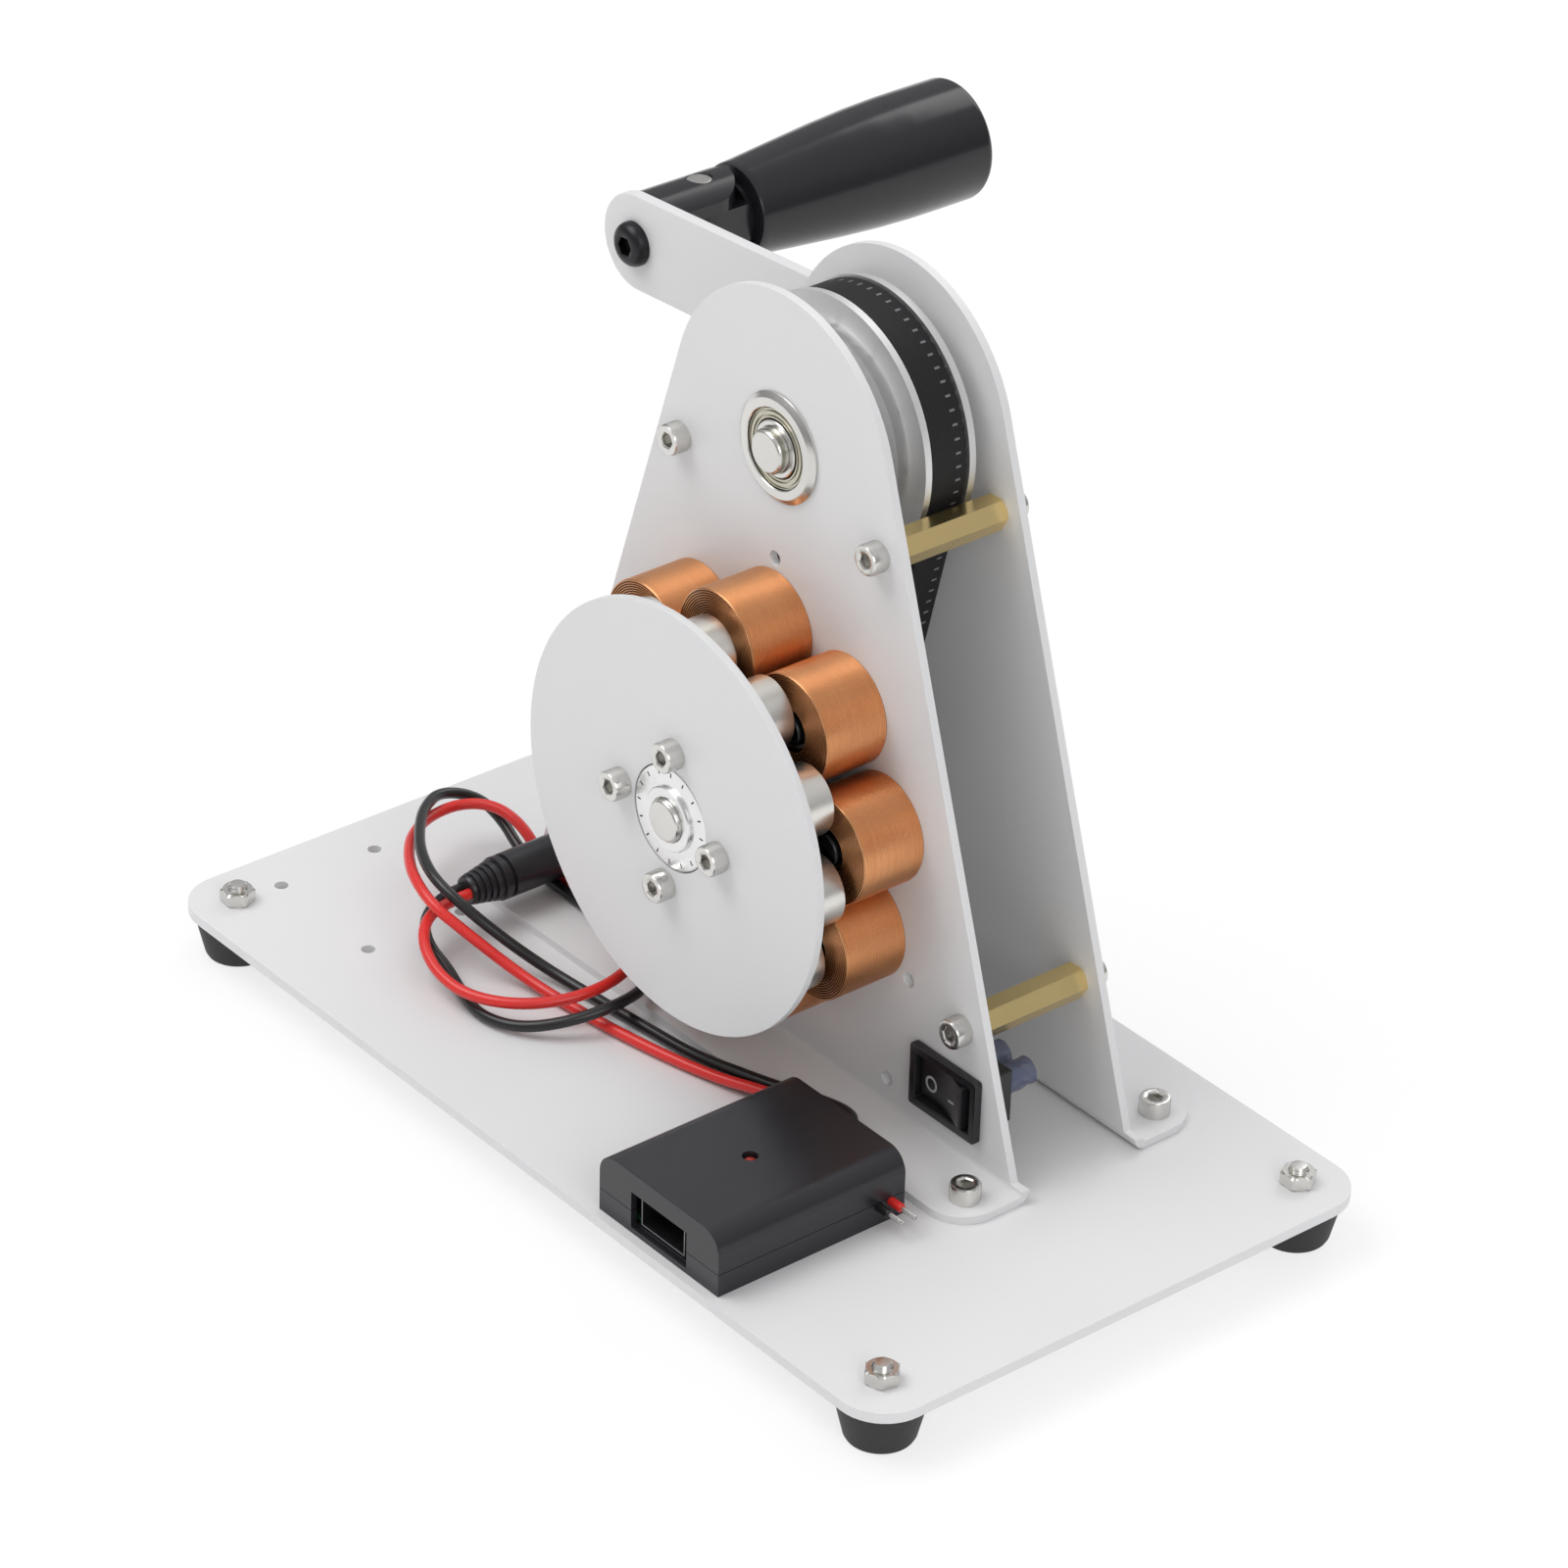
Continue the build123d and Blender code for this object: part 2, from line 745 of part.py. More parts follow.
def drive_belt():
    """Belt round both pulleys. Its teeth are at even steps along the pitch line from the large pulley on."""
    large = pitch_radius(large_teeth)
    small = pitch_radius(small_teeth)
    land = slip_gap - pitch_line_offset
    discs = [
        Pos(0, shaft_spacing) * Circle(large + land),
        Pos(0, 0) * Circle(small + land),
    ]
    straight = shaft_spacing * cos(belt_lean)
    side = Vector(cos(belt_lean), -sin(belt_lean))
    corners = [
        side * (small + land),
        Vector(0, shaft_spacing) + side * (large + land),
        Vector(0, shaft_spacing) + Vector(-side.X, side.Y) * (large + land),
        Vector(-side.X, side.Y) * (small + land),
    ]
    inside = make_face(Polyline(*corners, close=True)) + discs
    outside = offset(inside, belt_back)
    root = belt_tooth_root
    height = belt_tooth_height
    lap = belt_back / 2
    teeth = []
    large_arc = large * (pi + 2 * belt_lean)
    small_arc = small * (pi - 2 * belt_lean)
    for i in range(belt_teeth):
        along = i * belt_pitch
        if along < large_arc:
            angle = degrees(along / large - belt_lean)
            place = Pos(0, shaft_spacing) * Rot(0, 0, angle) * Pos(large + land, 0)
        elif along < large_arc + straight:
            down = along - large_arc
            place = (
                Pos(0, shaft_spacing) * Rot(0, 0, 180 + degrees(belt_lean)) * Pos(large + land, down)
            )
        elif along < large_arc + straight + small_arc:
            angle = degrees((along - large_arc - straight) / small)
            place = Rot(0, 0, 180 + degrees(belt_lean) + angle) * Pos(small + land, 0)
        else:
            up = along - large_arc - straight - small_arc
            place = Rot(0, 0, -degrees(belt_lean)) * Pos(small + land, up)
        tooth = Polyline(
            (lap, -root / 2), (0, -root / 2), (-height, -belt_tooth_tip / 2), (-height, belt_tooth_tip / 2),
            (0, root / 2), (lap, root / 2), close=True,
        )
        teeth.append(place * make_face(tooth))
    low = pulley_front_y + pulley_flange_thickness + belt_side_gap
    return prism_y(shaft_x, lower_shaft_z, low, low + belt_width, outside - inside + teeth)


def crank_set_screws():
    """Set screws of the large pulley and of the crank hub."""
    hub_y = (rear_bearing_y + arm_front_y) / 2
    pulley_screws = set_screw_pair(upper_shaft_z, large_boss_y, large_boss_radius, large_screw_angle)
    return pulley_screws + [set_screw(upper_shaft_z, hub_y, crank_hub_radius, 120, seat_gap)]


def rotor_set_screws():
    """Set screws of the small pulley and of the rotor hub."""
    hub_y = disc_back_y + hub_flange_thickness + hub_boss_length / 2
    small = set_screw_pair(lower_shaft_z, small_boss_y, small_boss_radius, small_screw_angle)
    return small + set_screw_pair(lower_shaft_z, hub_y, hub_boss_radius, 45)


def rotor_hub():
    """Flanged hub: a spigot in the disc, a flange behind it and a boss with two set screws."""
    bore = shaft_radius + slip_gap
    flange_back = disc_back_y + hub_flange_thickness
    boss_back = flange_back + hub_boss_length
    step_front = rotor_front_y - hub_step_height
    profile = [
        (bore, step_front), (hub_step_radius, step_front), (hub_step_radius, rotor_front_y),
        (hub_spigot_radius, rotor_front_y), (hub_spigot_radius, disc_back_y),
        (hub_flange_radius, disc_back_y),
        (hub_flange_radius, flange_back), (hub_boss_radius, flange_back), (hub_boss_radius, boss_back),
        (bore, boss_back),
    ]
    holes = [rod_y(x, z, disc_back_y, flange_back, m4_radius + thread_gap) for x, z in disc_screw_places()]
    middle = flange_back + hub_boss_length / 2
    holes += [set_screw(lower_shaft_z, middle, hub_boss_radius + slip_gap, 45 + turn) for turn in (0, 90)]
    return turned_y(shaft_x, lower_shaft_z, profile) - holes


def disc_screw_places():
    """(x, z) of the screws that hold the disc to its hub."""
    return ring_points(disc_screw_count, disc_screw_circle_radius, disc_screw_angle, 360 / disc_screw_count)


def rotor_disc():
    """Steel disc that carries the magnets."""
    bore = hub_spigot_radius + hub_spigot_gap
    disc = tube_y(shaft_x, lower_shaft_z, rotor_front_y, disc_back_y, rotor_disc_radius, bore)
    return disc - [rod_y(x, z, rotor_front_y, disc_back_y, m4_hole_radius) for x, z in disc_screw_places()]


def disc_screws():
    """Cap screws through the disc into its hub."""
    length = rotor_disc_thickness + hub_flange_thickness - seat_gap
    return [Pos(x, rotor_front_y, z) * FACING_FRONT * m4_cap_screw(length) for x, z in disc_screw_places()]


def magnets():
    """Disc magnets on the back of the rotor disc."""
    places = ring_points(magnet_count, coil_circle_radius, magnet_angle, 360 / magnet_count)
    return [rod_y(x, z, disc_back_y, disc_back_y + magnet_height, magnet_radius) for x, z in places]


def coil_windings():
    """Copper windings standing on the front plate."""
    bore = coil_core_radius + slip_gap
    return [tube_y(x, z, coil_front_y, front_plate_y, coil_radius, bore) for x, z in coil_places()]


coil_core_front_y = coil_front_y + coil_core_recess


def coil_cores():
    """Cores inside the windings, set back so that the screw heads clear the magnets."""
    return [
        tube_y(x, z, coil_core_front_y, front_plate_y, coil_core_radius, m4_hole_radius) for x, z in coil_places()
    ]


def coil_washers():
    """Washers under the coil screws' heads."""
    low = coil_core_front_y - m4_washer_height
    return [tube_y(x, z, low, coil_core_front_y, m4_washer_radius, m4_hole_radius) for x, z in coil_places()]


def coil_screws():
    """Low head screws through the coils into nuts behind the front plate."""
    seat_y = coil_core_front_y - m4_washer_height
    length = front_plate_y + plate_thickness + m4_nut_height + screw_end - seat_y
    screw = FACING_FRONT * cap_screw(length, m4_low_radius, m4_low_height, m4_low_socket_flats, m4_low_socket_depth)
    return [Pos(x, seat_y, z) * screw for x, z in coil_places()]


def coil_nuts():
    """Nuts behind the front plate."""
    piece = FACING_BACK * nut(m4_nut_flats, m4_nut_height, m4_radius + thread_gap)
    return [Pos(x, front_plate_y + plate_thickness, z) * piece for x, z in coil_places()]


def coil_lead():
    """Enamelled lead that drops from the lowest coils to the base behind the rotor."""
    path = Polyline(*coil_lead_route)
    return tube_along(path, coil_lead_radius, coil_lead_sides)


def crank_hub():
    """Collar between the rear bearing and the arm, fixed to the shaft by a set screw."""
    low = rear_bearing_y + crank_hub_end_gap
    collar = round_tube_y(shaft_x, upper_shaft_z, low, arm_front_y, crank_hub_radius, shaft_radius + slip_gap)
    middle = (rear_bearing_y + arm_front_y) / 2
    return collar - set_screw(upper_shaft_z, middle, crank_hub_radius + slip_gap, 120)


# Place of the arm's far end: local X points from it to the shaft, along the arm.
ARM_END = (
    Pos(shaft_x - arm_length * cos(radians(arm_droop)), 0, upper_shaft_z - arm_length * sin(radians(arm_droop)))
    * Rot(0, -arm_droop, 0)
)


def crank_arm():
    """Flat arm with round ends and a hole at each."""
    outline = SlotCenterToCenter(arm_length, 2 * arm_half_width)
    outline -= GridLocations(arm_length, 0, 2, 1) * disc(m6_hole_radius)
    return ARM_END * prism_y(arm_length / 2, 0, arm_front_y, arm_front_y + arm_thickness, outline)


def arm_screws():
    """Domed screws: one holds the arm to the shaft from behind, one holds the fork from the front."""
    shaft_screw = FACING_BACK * button_screw(arm_thickness + m6_washer_height + m6_thread_depth - seat_gap)
    seat_y = arm_front_y + arm_thickness + m6_washer_height
    fork_screw = FACING_FRONT * button_screw(arm_thickness + fork_base - seat_gap)
    return [Pos(shaft_x, seat_y, upper_shaft_z) * shaft_screw, ARM_END * Pos(0, arm_front_y, 0) * fork_screw]


def arm_washer():
    """Washer under the screw at the shaft."""
    low = arm_front_y + arm_thickness
    return tube_y(shaft_x, upper_shaft_z, low, low + m6_washer_height, m6_washer_radius, m6_hole_radius)


fork_back_y = arm_front_y + arm_thickness
fold_y = fork_back_y + fold_centre
knuckle_end_y = fold_y + knuckle_radius + shoulder_gap
grip_start_y = knuckle_end_y + shoulder_thickness


def handle_fork():
    """Fork on the arm's end: a round block with flat sides, two ears and a slot for the knuckle."""
    body = prism_y(0, 0, fork_back_y, fold_y + knuckle_radius, Circle(fork_radius))
    body &= block(-fork_flat_x, fork_flat_x, fork_back_y, fold_y + knuckle_radius, -fork_radius, fork_radius)
    round_ears = Pos(0, fold_y, 0) * Cylinder(knuckle_radius, 2 * fork_radius)
    body &= round_ears + block(-fork_radius, fork_radius, fork_back_y, fold_y, -fork_radius, fork_radius)
    slot = block(
        -fork_radius, fork_radius, fork_back_y + fork_base,
        fold_y + fork_radius, -fork_slot_half, fork_slot_half
    )
    pin_hole = Pos(0, fold_y, 0) * Cylinder(hinge_pin_radius + slip_gap, 2 * fork_radius)
    tapped = rod_y(0, 0, fork_back_y, fork_back_y + fork_base, m6_radius + thread_gap)
    return ARM_END * (body - slot - pin_hole - tapped)


def hinge_pin():
    """Pin through the fork's ears."""
    return ARM_END * Pos(0, fold_y, 0) * Cylinder(hinge_pin_radius, 2 * (fork_radius - hinge_pin_inset))


def handle_spindle():
    """Knuckle in the fork's slot, with a shoulder and the round spindle that the grip turns on."""
    half = fork_slot_half - slip_gap
    tongue = Pos(0, fold_y, 0) * Cylinder(knuckle_radius - seat_gap, 2 * half)
    tongue += block(seat_gap - knuckle_radius, knuckle_radius - seat_gap, fold_y, knuckle_end_y, -half, half)
    shoulder = rod_y(0, 0, knuckle_end_y, grip_start_y, shoulder_radius)
    spindle = prism_y(0, 0, grip_start_y, grip_start_y + spindle_length, Circle(spindle_radius))
    pin_hole = Pos(0, fold_y, 0) * Cylinder(hinge_pin_radius + slip_gap, 2 * half)
    return ARM_END * (tongue + shoulder + spindle - pin_hole)


def grip():
    """Turned grip: a narrow neck that swells to a full round end, with a blind bore for the spindle."""
    bore = spindle_radius + slip_gap
    start = grip_start_y + slip_gap
    end = start + grip_length
    bore_end = grip_start_y + spindle_length + grip_bore_end_gap
    profile = [
        (0, bore_end), (bore, bore_end), (bore, start), (grip_start_radius - grip_bevel, start),
        (grip_start_radius, start + grip_bevel), (grip_waist_radius, start + grip_waist_at),
        (grip_swell_radius, start + grip_swell_at), (grip_end_radius, start + grip_end_at),
        (grip_end_radius, end - grip_bevel), (grip_end_radius - grip_bevel, end), (0, end),
    ]
    return ARM_END * turned_y(0, 0, profile)


def switch_body():
    """Switch housing: a bezel on the plate's face, an open well for the rocker and a body behind."""
    front = front_plate_y - switch_bezel
    bezel = prism_y(
        switch_x, switch_z, front, front_plate_y,
        RectangleRounded(switch_width, switch_height, switch_bezel_round),
    )
    half_x = switch_body_width / 2
    half_z = switch_body_height / 2
    back = front_plate_y + switch_body_depth
    body = block(
        switch_x - half_x, switch_x + half_x, front_plate_y, back, switch_z - half_z, switch_z + half_z
    )
    well_x = rocker_width / 2 + rocker_gap
    well_z = rocker_height / 2 + rocker_gap
    well_back = front_plate_y + rocker_depth + rocker_pivot_depth
    well = block(
        switch_x - well_x, switch_x + well_x, front, well_back, switch_z - well_z, switch_z + well_z
    )
    return bezel + body - well


rocker_pivot_y = front_plate_y + rocker_pivot_depth


def rocker():
    """Rocker with a hollow curved face, tilted so that its -X end is pressed in."""
    half = rocker_width / 2
    front = -rocker_pivot_depth - switch_bezel
    outline = make_face(
        Polyline((-half, front), (-half, 0), (0, rocker_depth / 2), (half, 0), (half, front))
        + ThreePointArc((half, front), (0, front + rocker_rise / 2), (-half, front))
    )
    side = half - 2 * rocker_gap
    trimmed = outline & (Pos(0, 0) * Rectangle(2 * side, 4 * rocker_depth))
    solid = extrude(trimmed, rocker_height / 2, both=True)
    pivot = Pos(switch_x, rocker_pivot_y, switch_z)
    return pivot * Rot(0, 0, -rocker_tilt) * solid


def terminal_centres():
    """X of the two switch terminals."""
    return [switch_x + side * terminal_spacing / 2 for side in (-1, 1)]


switch_back_y = front_plate_y + switch_body_depth


def switch_terminals():
    """Flat blades behind the switch."""
    half_x = terminal_thickness / 2
    half_z = terminal_width / 2
    end = switch_back_y + terminal_length
    return [
        block(x - half_x, x + half_x, switch_back_y, end, switch_z - half_z, switch_z + half_z)
        for x in terminal_centres()
    ]


def terminal_sleeves():
    """Clear sleeves over the terminals."""
    sleeves = []
    for x in terminal_centres():
        start = switch_back_y + seat_gap
        sleeve = tube_y(x, switch_z, start, start + sleeve_length, sleeve_radius, sleeve_radius - sleeve_wall)
        sleeves.append(sleeve)
    return sleeves


def case_block(z_low, z_high):
    """Solid outline of the outlet box between two heights, with its long top edges rounded."""
    solid = block(case_x, case_x + case_width, case_front_y, case_back_y, 0, case_height)
    top_edges = solid.edges().filter_by(Axis.Y).group_by(Axis.Z)[-1]
    solid = fillet(top_edges, case_round)
    return solid & block(case_x, case_x + case_width, case_front_y, case_back_y, z_low, z_high)


def case_hollow():
    """Space inside the outlet box."""
    solid = block(
        case_x + case_wall, case_x + case_width - case_wall,
        case_front_y + case_wall, case_back_y - case_wall,
        case_wall, case_height - case_wall,
    )
    top_edges = solid.edges().filter_by(Axis.Y).group_by(Axis.Z)[-1]
    return fillet(top_edges, case_round - case_wall)


def port_cut():
    """Opening in the front wall of the outlet box."""
    half = port_width / 2
    back = case_front_y + case_wall
    return block(port_centre_x - half, port_centre_x + half, case_front_y, back, port_low_z, port_high_z)


def case_cuts():
    """Port, wire exits and cut wire exits through the walls of the outlet box."""
    cuts = [port_cut()]
    right = case_x + case_width
    for y in cut_wire_places():
        cuts.append(rod_x(right - case_wall, right, y, cut_wire_z, cut_wire_radius + slip_gap))
    return cuts


def usb_case_bottom():
    """Lower shell of the outlet box."""
    return case_block(0, case_split_z) - case_hollow() - case_cuts()


def usb_case_top():
    """Upper shell of the outlet box, with the lamp's hole."""
    lamp_hole = rod_z(led_x, led_y, case_height - case_wall, case_height, led_hole_radius)
    return case_block(case_split_z + case_split_gap, case_height) - case_hollow() - case_cuts() - lamp_hole


usb_shell_front_y = case_front_y + usb_shell_setback


def usb_board():
    """Circuit board on the floor of the outlet box."""
    edge = case_wall + board_edge_gap
    front = usb_shell_front_y + case_wall
    low = max(board_top_z - board_thickness, case_wall + slip_gap)
    return block(case_x + edge, case_x + case_width - edge, front, case_back_y - edge, low, board_top_z)


def usb_shell():
    """Folded metal shell of the socket, open in front."""
    half = usb_shell_width / 2
    wall = usb_shell_wall
    top = board_top_z + usb_shell_height
    back = usb_shell_front_y + usb_shell_length
    low = board_top_z + slip_gap
    outer = block(port_centre_x - half, port_centre_x + half, usb_shell_front_y, back, low, top)
    inner = block(
        port_centre_x - half + wall, port_centre_x + half - wall, usb_shell_front_y, back - wall, low + wall,
        top - wall,
    )
    return outer - inner


def usb_tongue():
    """Plastic tongue inside the shell, on a back wall."""
    half = tongue_width / 2
    back = usb_shell_front_y + usb_shell_length - usb_shell_wall
    low = board_top_z + usb_shell_height / 2
    tongue = block(
        port_centre_x - half, port_centre_x + half, usb_shell_front_y + tongue_setback, back, low,
        low + tongue_thickness,
    )
    wall_half = usb_shell_width / 2 - usb_shell_wall
    wall = block(
        port_centre_x - wall_half, port_centre_x + wall_half, back - 2 * tongue_thickness, back,
        board_top_z + slip_gap + usb_shell_wall, board_top_z + usb_shell_height - usb_shell_wall,
    )
    return tongue + wall


def status_led():
    """Lamp on the board, its tip in the hole of the upper shell."""
    return rod_z(led_x, led_y, board_top_z, case_height - case_wall / 2, led_radius)


def cut_wire_places():
    """Y of the two cut wires at the side of the outlet box: red, then black."""
    return (cut_wire_y, cut_wire_y - cut_wire_pitch)


def cut_wire(y):
    """Short insulated wire end out of the outlet box's side."""
    right = case_x + case_width
    return rod_x(right - case_wall, right + cut_wire_length, y, cut_wire_z, cut_wire_radius)


def tinned_wire_ends():
    """Bare tinned ends of the cut wires."""
    start = case_x + case_width + cut_wire_length
    return [rod_x(start, start + tinned_length, y, cut_wire_z, tinned_radius) for y in cut_wire_places()]


def panel_jack():
    """Barrel jack behind the front plate, its threaded neck through the plate."""
    nut_front = front_plate_y - jack_nut_thickness
    back = front_plate_y + plate_thickness
    end = back + jack_body_length
    bore = plug_barrel_radius + slip_gap
    profile = [
        (bore, nut_front), (jack_thread_radius, nut_front), (jack_thread_radius, back),
        (jack_body_radius, back),
        (jack_body_radius, end), (0, end), (0, end - seat_gap * 2), (bore, end - seat_gap * 2),
    ]
    return turned_y(jack_x, jack_z, profile)


def panel_jack_nut():
    """Nut on the jack's neck in front of the plate."""
    outline = hexagon(jack_nut_flats) - Circle(jack_thread_radius + thread_gap)
    return prism_y(jack_x, jack_z, front_plate_y - jack_nut_thickness, front_plate_y, outline)


def barrel_plug():
    """Moulded plug with a tapered, grooved tail and a metal barrel in the jack."""
    front = front_plate_y - jack_nut_thickness - plug_seat_gap
    shoulder = front - plug_body_length
    first = shoulder + 2 * plug_groove_width
    neck = plug_radius - plug_groove_depth
    groove = plug_groove_width
    tail_wide = plug_radius - plug_groove_depth / 2
    profile = [
        (0, plug_tail_y), (plug_tail_radius, plug_tail_y), (tail_wide, shoulder - groove),
        (neck, shoulder - groove), (neck, shoulder), (plug_radius, shoulder), (plug_radius, first),
        (neck, first), (neck, first + groove), (plug_radius, first + groove), (plug_radius, front),
        (plug_barrel_radius, front), (plug_barrel_radius, front + plug_barrel_length),
        (0, front + plug_barrel_length),
    ]
    return turned_y(jack_x, jack_z, profile)


# Centre lines of the twin cable's two wires, from the outlet box over the loop to the plug's tail.
black_route = [
    (wire_exit_x + wire_exit_half, case_back_y, wire_exit_z),
    (wire_exit_x + wire_exit_half, case_back_y + black_exit_run, wire_exit_z),
    (43.3, -6.4, 5.2),
    (34.6, -6.8, 4.2),
    (23.0, -11.4, 3.9),
    (12.0, -14.4, 3.3),
    (0.5, -15.8, 1.6),
    (-11.0, -17.2, 1.6),
    (-22.5, -18.3, 1.6),
    (-35.0, -19.6, 1.6),
    (-45.5, -22.3, 3.4),
    (-54.0, -27.2, 8.4),
    (-61.5, -32.0, 14.4),
    (-71.5, -33.4, 17.6),
    (-82.0, -29.4, 18.0),
    (-91.5, -22.8, 17.2),
    (-99.4, -15.6, 16.2),
    (-105.0, -7.0, 14.6),
    (-102.2, 1.6, 11.6),
    (-94.6, 3.0, 8.4),
    (-86.6, 1.5, 5.4),
    (-77.5, 0.7, 3.55),
    (-67.0, 0.4, 3.55),
    (-54.0, 0.1, 3.6),
    (-41.0, -0.8, 3.55),
    (-29.5, -4.6, 3.9),
    (-22.0, -12.6, 5.8),
    (-19.6, -22.6, 6.6),
    (-23.4, -32.6, 4.4),
    (-30.6, -40.6, 2.2),
    (-40.6, -43.8, 1.6),
    (-50.4, -41.4, 1.7),
    (-59.2, -38.8, 2.6),
    (-66.4, -38.6, 4.6),
    (-71.8, -36.2, 7.4),
    (jack_x - wire_exit_half, plug_tail_y - plug_exit_run, jack_z),
    (jack_x - wire_exit_half, plug_tail_y, jack_z),
]
red_route = [
    (wire_exit_x - wire_exit_half, case_back_y, wire_exit_z),
    (wire_exit_x - wire_exit_half, case_back_y + red_exit_run, wire_exit_z),
    (39.8, -10.4, 4.9),
    (31.0, -12.0, 3.9),
    (21.5, -14.7, 3.5),
    (11.5, -17.4, 2.0),
    (0.0, -20.2, 1.6),
    (-13.5, -23.0, 1.6),
    (-27.0, -25.0, 1.6),
    (-40.0, -26.6, 1.8),
    (-50.0, -29.4, 4.6),
    (-58.0, -33.8, 10.0),
    (-66.5, -37.4, 14.6),
    (-77.0, -35.0, 16.0),
    (-87.0, -29.2, 15.0),
    (-95.6, -21.8, 13.2),
    (-101.0, -12.8, 12.2),
    (-100.6, -4.4, 12.6),
    (-95.0, 1.0, 12.9),
    (-87.6, 3.2, 10.6),
    (-80.4, 3.7, 4.6),
    (-73.8, 3.7, 3.55),
    (-60.5, 3.2, 3.8),
    (-49.0, 2.0, 5.9),
    (-38.5, -1.4, 7.2),
    (-30.0, -8.6, 7.4),
    (-26.6, -18.8, 7.0),
    (-28.4, -29.6, 6.2),
    (-34.6, -38.6, 5.4),
    (-44.4, -44.6, 5.2),
    (-54.4, -45.4, 6.4),
    (-63.4, -42.6, 8.6),
    (-69.0, -37.2, 10.2),
    (jack_x + wire_exit_half, plug_tail_y - plug_exit_run, jack_z),
    (jack_x + wire_exit_half, plug_tail_y, jack_z),
]


def corner_radii(points):
    """Radius of the arc at each inner point: 0.45 of the shorter run over the tangent of half the turn."""
    radii = []
    for before, here, after in zip(points, points[1:], points[2:]):
        first = Vector(*here) - Vector(*before)
        second = Vector(*after) - Vector(*here)
        half_turn = radians(first.get_angle(second)) / 2
        radii.append(0.45 * min(first.length, second.length) / tan(half_turn))
    return radii


def tube_along(path, radius, sides):
    """Faceted round tube along a path."""
    section = Plane(path @ 0, z_dir=path % 0) * RegularPolygon(radius, sides, major_radius=False)
    return sweep(section, path)


def wire(name, points):
    """Insulated wire along its centre line, with a print of its radii, length and volume."""
    radii = corner_radii(points)
    path = FilletPolyline(*points, radius=radii)
    solid = tube_along(path, wire_radius, wire_sides)
    area = wire_sides * wire_radius**2 * tan(pi / wire_sides)
    print(name, "radii", [round(r, 1) for r in radii], "least", round(min(radii), 1))
    expected = round(area * path.length)
    print(name, "length", round(path.length, 1), "volume", round(solid.volume), "expected", expected)
    return solid


NODES = {
    "base_plate": base_plate,
    "rubber_feet": rubber_feet,
    "foot_screws": foot_screws,
    "foot_nuts": foot_nuts,
    "front_plate": front_plate,
    "rear_plate": rear_plate,
    "plate_foot_screws": plate_foot_screws,
    "plate_foot_nuts": plate_foot_nuts,
    "standoffs": standoffs,
    "front_standoff_screws": lambda: standoff_screws(front_plate_y, FACING_FRONT),
    "rear_standoff_screws": lambda: standoff_screws(rear_plate_back_y, FACING_BACK),
    "bearing_outer_races": bearing_outer_races,
    "bearing_shields": bearing_shields,
    "coil_windings": coil_windings,
    "coil_cores": coil_cores,
    "coil_washers": coil_washers,
    "coil_screws": coil_screws,
    "coil_nuts": coil_nuts,
    "coil_lead": coil_lead,
    "switch_body": switch_body,
    "switch_terminals": switch_terminals,
    "terminal_sleeves": terminal_sleeves,
    "rocker": rocker,
    "usb_case_bottom": usb_case_bottom,
    "usb_case_top": usb_case_top,
    "usb_board": usb_board,
    "usb_shell": usb_shell,
    "usb_tongue": usb_tongue,
    "status_led": status_led,
    "cut_wire_red": lambda: cut_wire(cut_wire_places()[0]),
    "cut_wire_black": lambda: cut_wire(cut_wire_places()[1]),
    "tinned_wire_ends": tinned_wire_ends,
    "panel_jack": panel_jack,
    "panel_jack_nut": panel_jack_nut,
    "barrel_plug": barrel_plug,
    "cable_black": lambda: wire("cable_black", black_route),
    "cable_red": lambda: wire("cable_red", red_route),
    "drive_belt": drive_belt,
    "crank_shaft": crank_shaft,
    "large_pulley": large_pulley,
    "crank_set_screws": crank_set_screws,
    "upper_inner_races": lambda: inner_races(upper_shaft_z),
    "crank_hub": crank_hub,
    "crank_arm": crank_arm,
    "arm_screws": arm_screws,
    "arm_washer": arm_washer,
    "handle_fork": handle_fork,
    "hinge_pin": hinge_pin,
    "handle_spindle": handle_spindle,
    "grip": grip,
    "rotor_shaft": rotor_shaft,
    "small_pulley": small_pulley,
    "rotor_hub": rotor_hub,
    "rotor_set_screws": rotor_set_screws,
    "rotor_disc": rotor_disc,
    "disc_screws": disc_screws,
    "magnets": magnets,
    "lower_inner_races": lambda: inner_races(lower_shaft_z),
}

os.makedirs("parts", exist_ok=True)
for node, make in NODES.items():
    made = make()
    shape = Compound(children=made) if isinstance(made, list) else made
    shape.label = node
    export_step(shape, f"parts/{node}.step")
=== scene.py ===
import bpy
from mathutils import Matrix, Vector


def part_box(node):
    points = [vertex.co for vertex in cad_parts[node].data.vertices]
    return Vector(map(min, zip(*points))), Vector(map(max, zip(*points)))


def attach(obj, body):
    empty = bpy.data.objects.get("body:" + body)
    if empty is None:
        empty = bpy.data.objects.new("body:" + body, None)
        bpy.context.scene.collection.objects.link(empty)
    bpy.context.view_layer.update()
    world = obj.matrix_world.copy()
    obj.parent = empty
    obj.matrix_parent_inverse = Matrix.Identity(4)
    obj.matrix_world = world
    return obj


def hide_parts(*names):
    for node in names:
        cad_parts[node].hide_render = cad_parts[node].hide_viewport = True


bl_info = {
    "name": "Hand crank generator",
    "version": (1, 0, 0),
    "blender": (4, 5, 0),
    "location": "3D View > Sidebar > Generator",
    "description": "Dresses the packed model of a hand crank generator with detailed pieces and finishes",
    "category": "Object",
}

from math import asin, cos, floor, pi, radians, sin

import bmesh
import bpy
from mathutils import Matrix, Vector
from mathutils.bvhtree import BVHTree

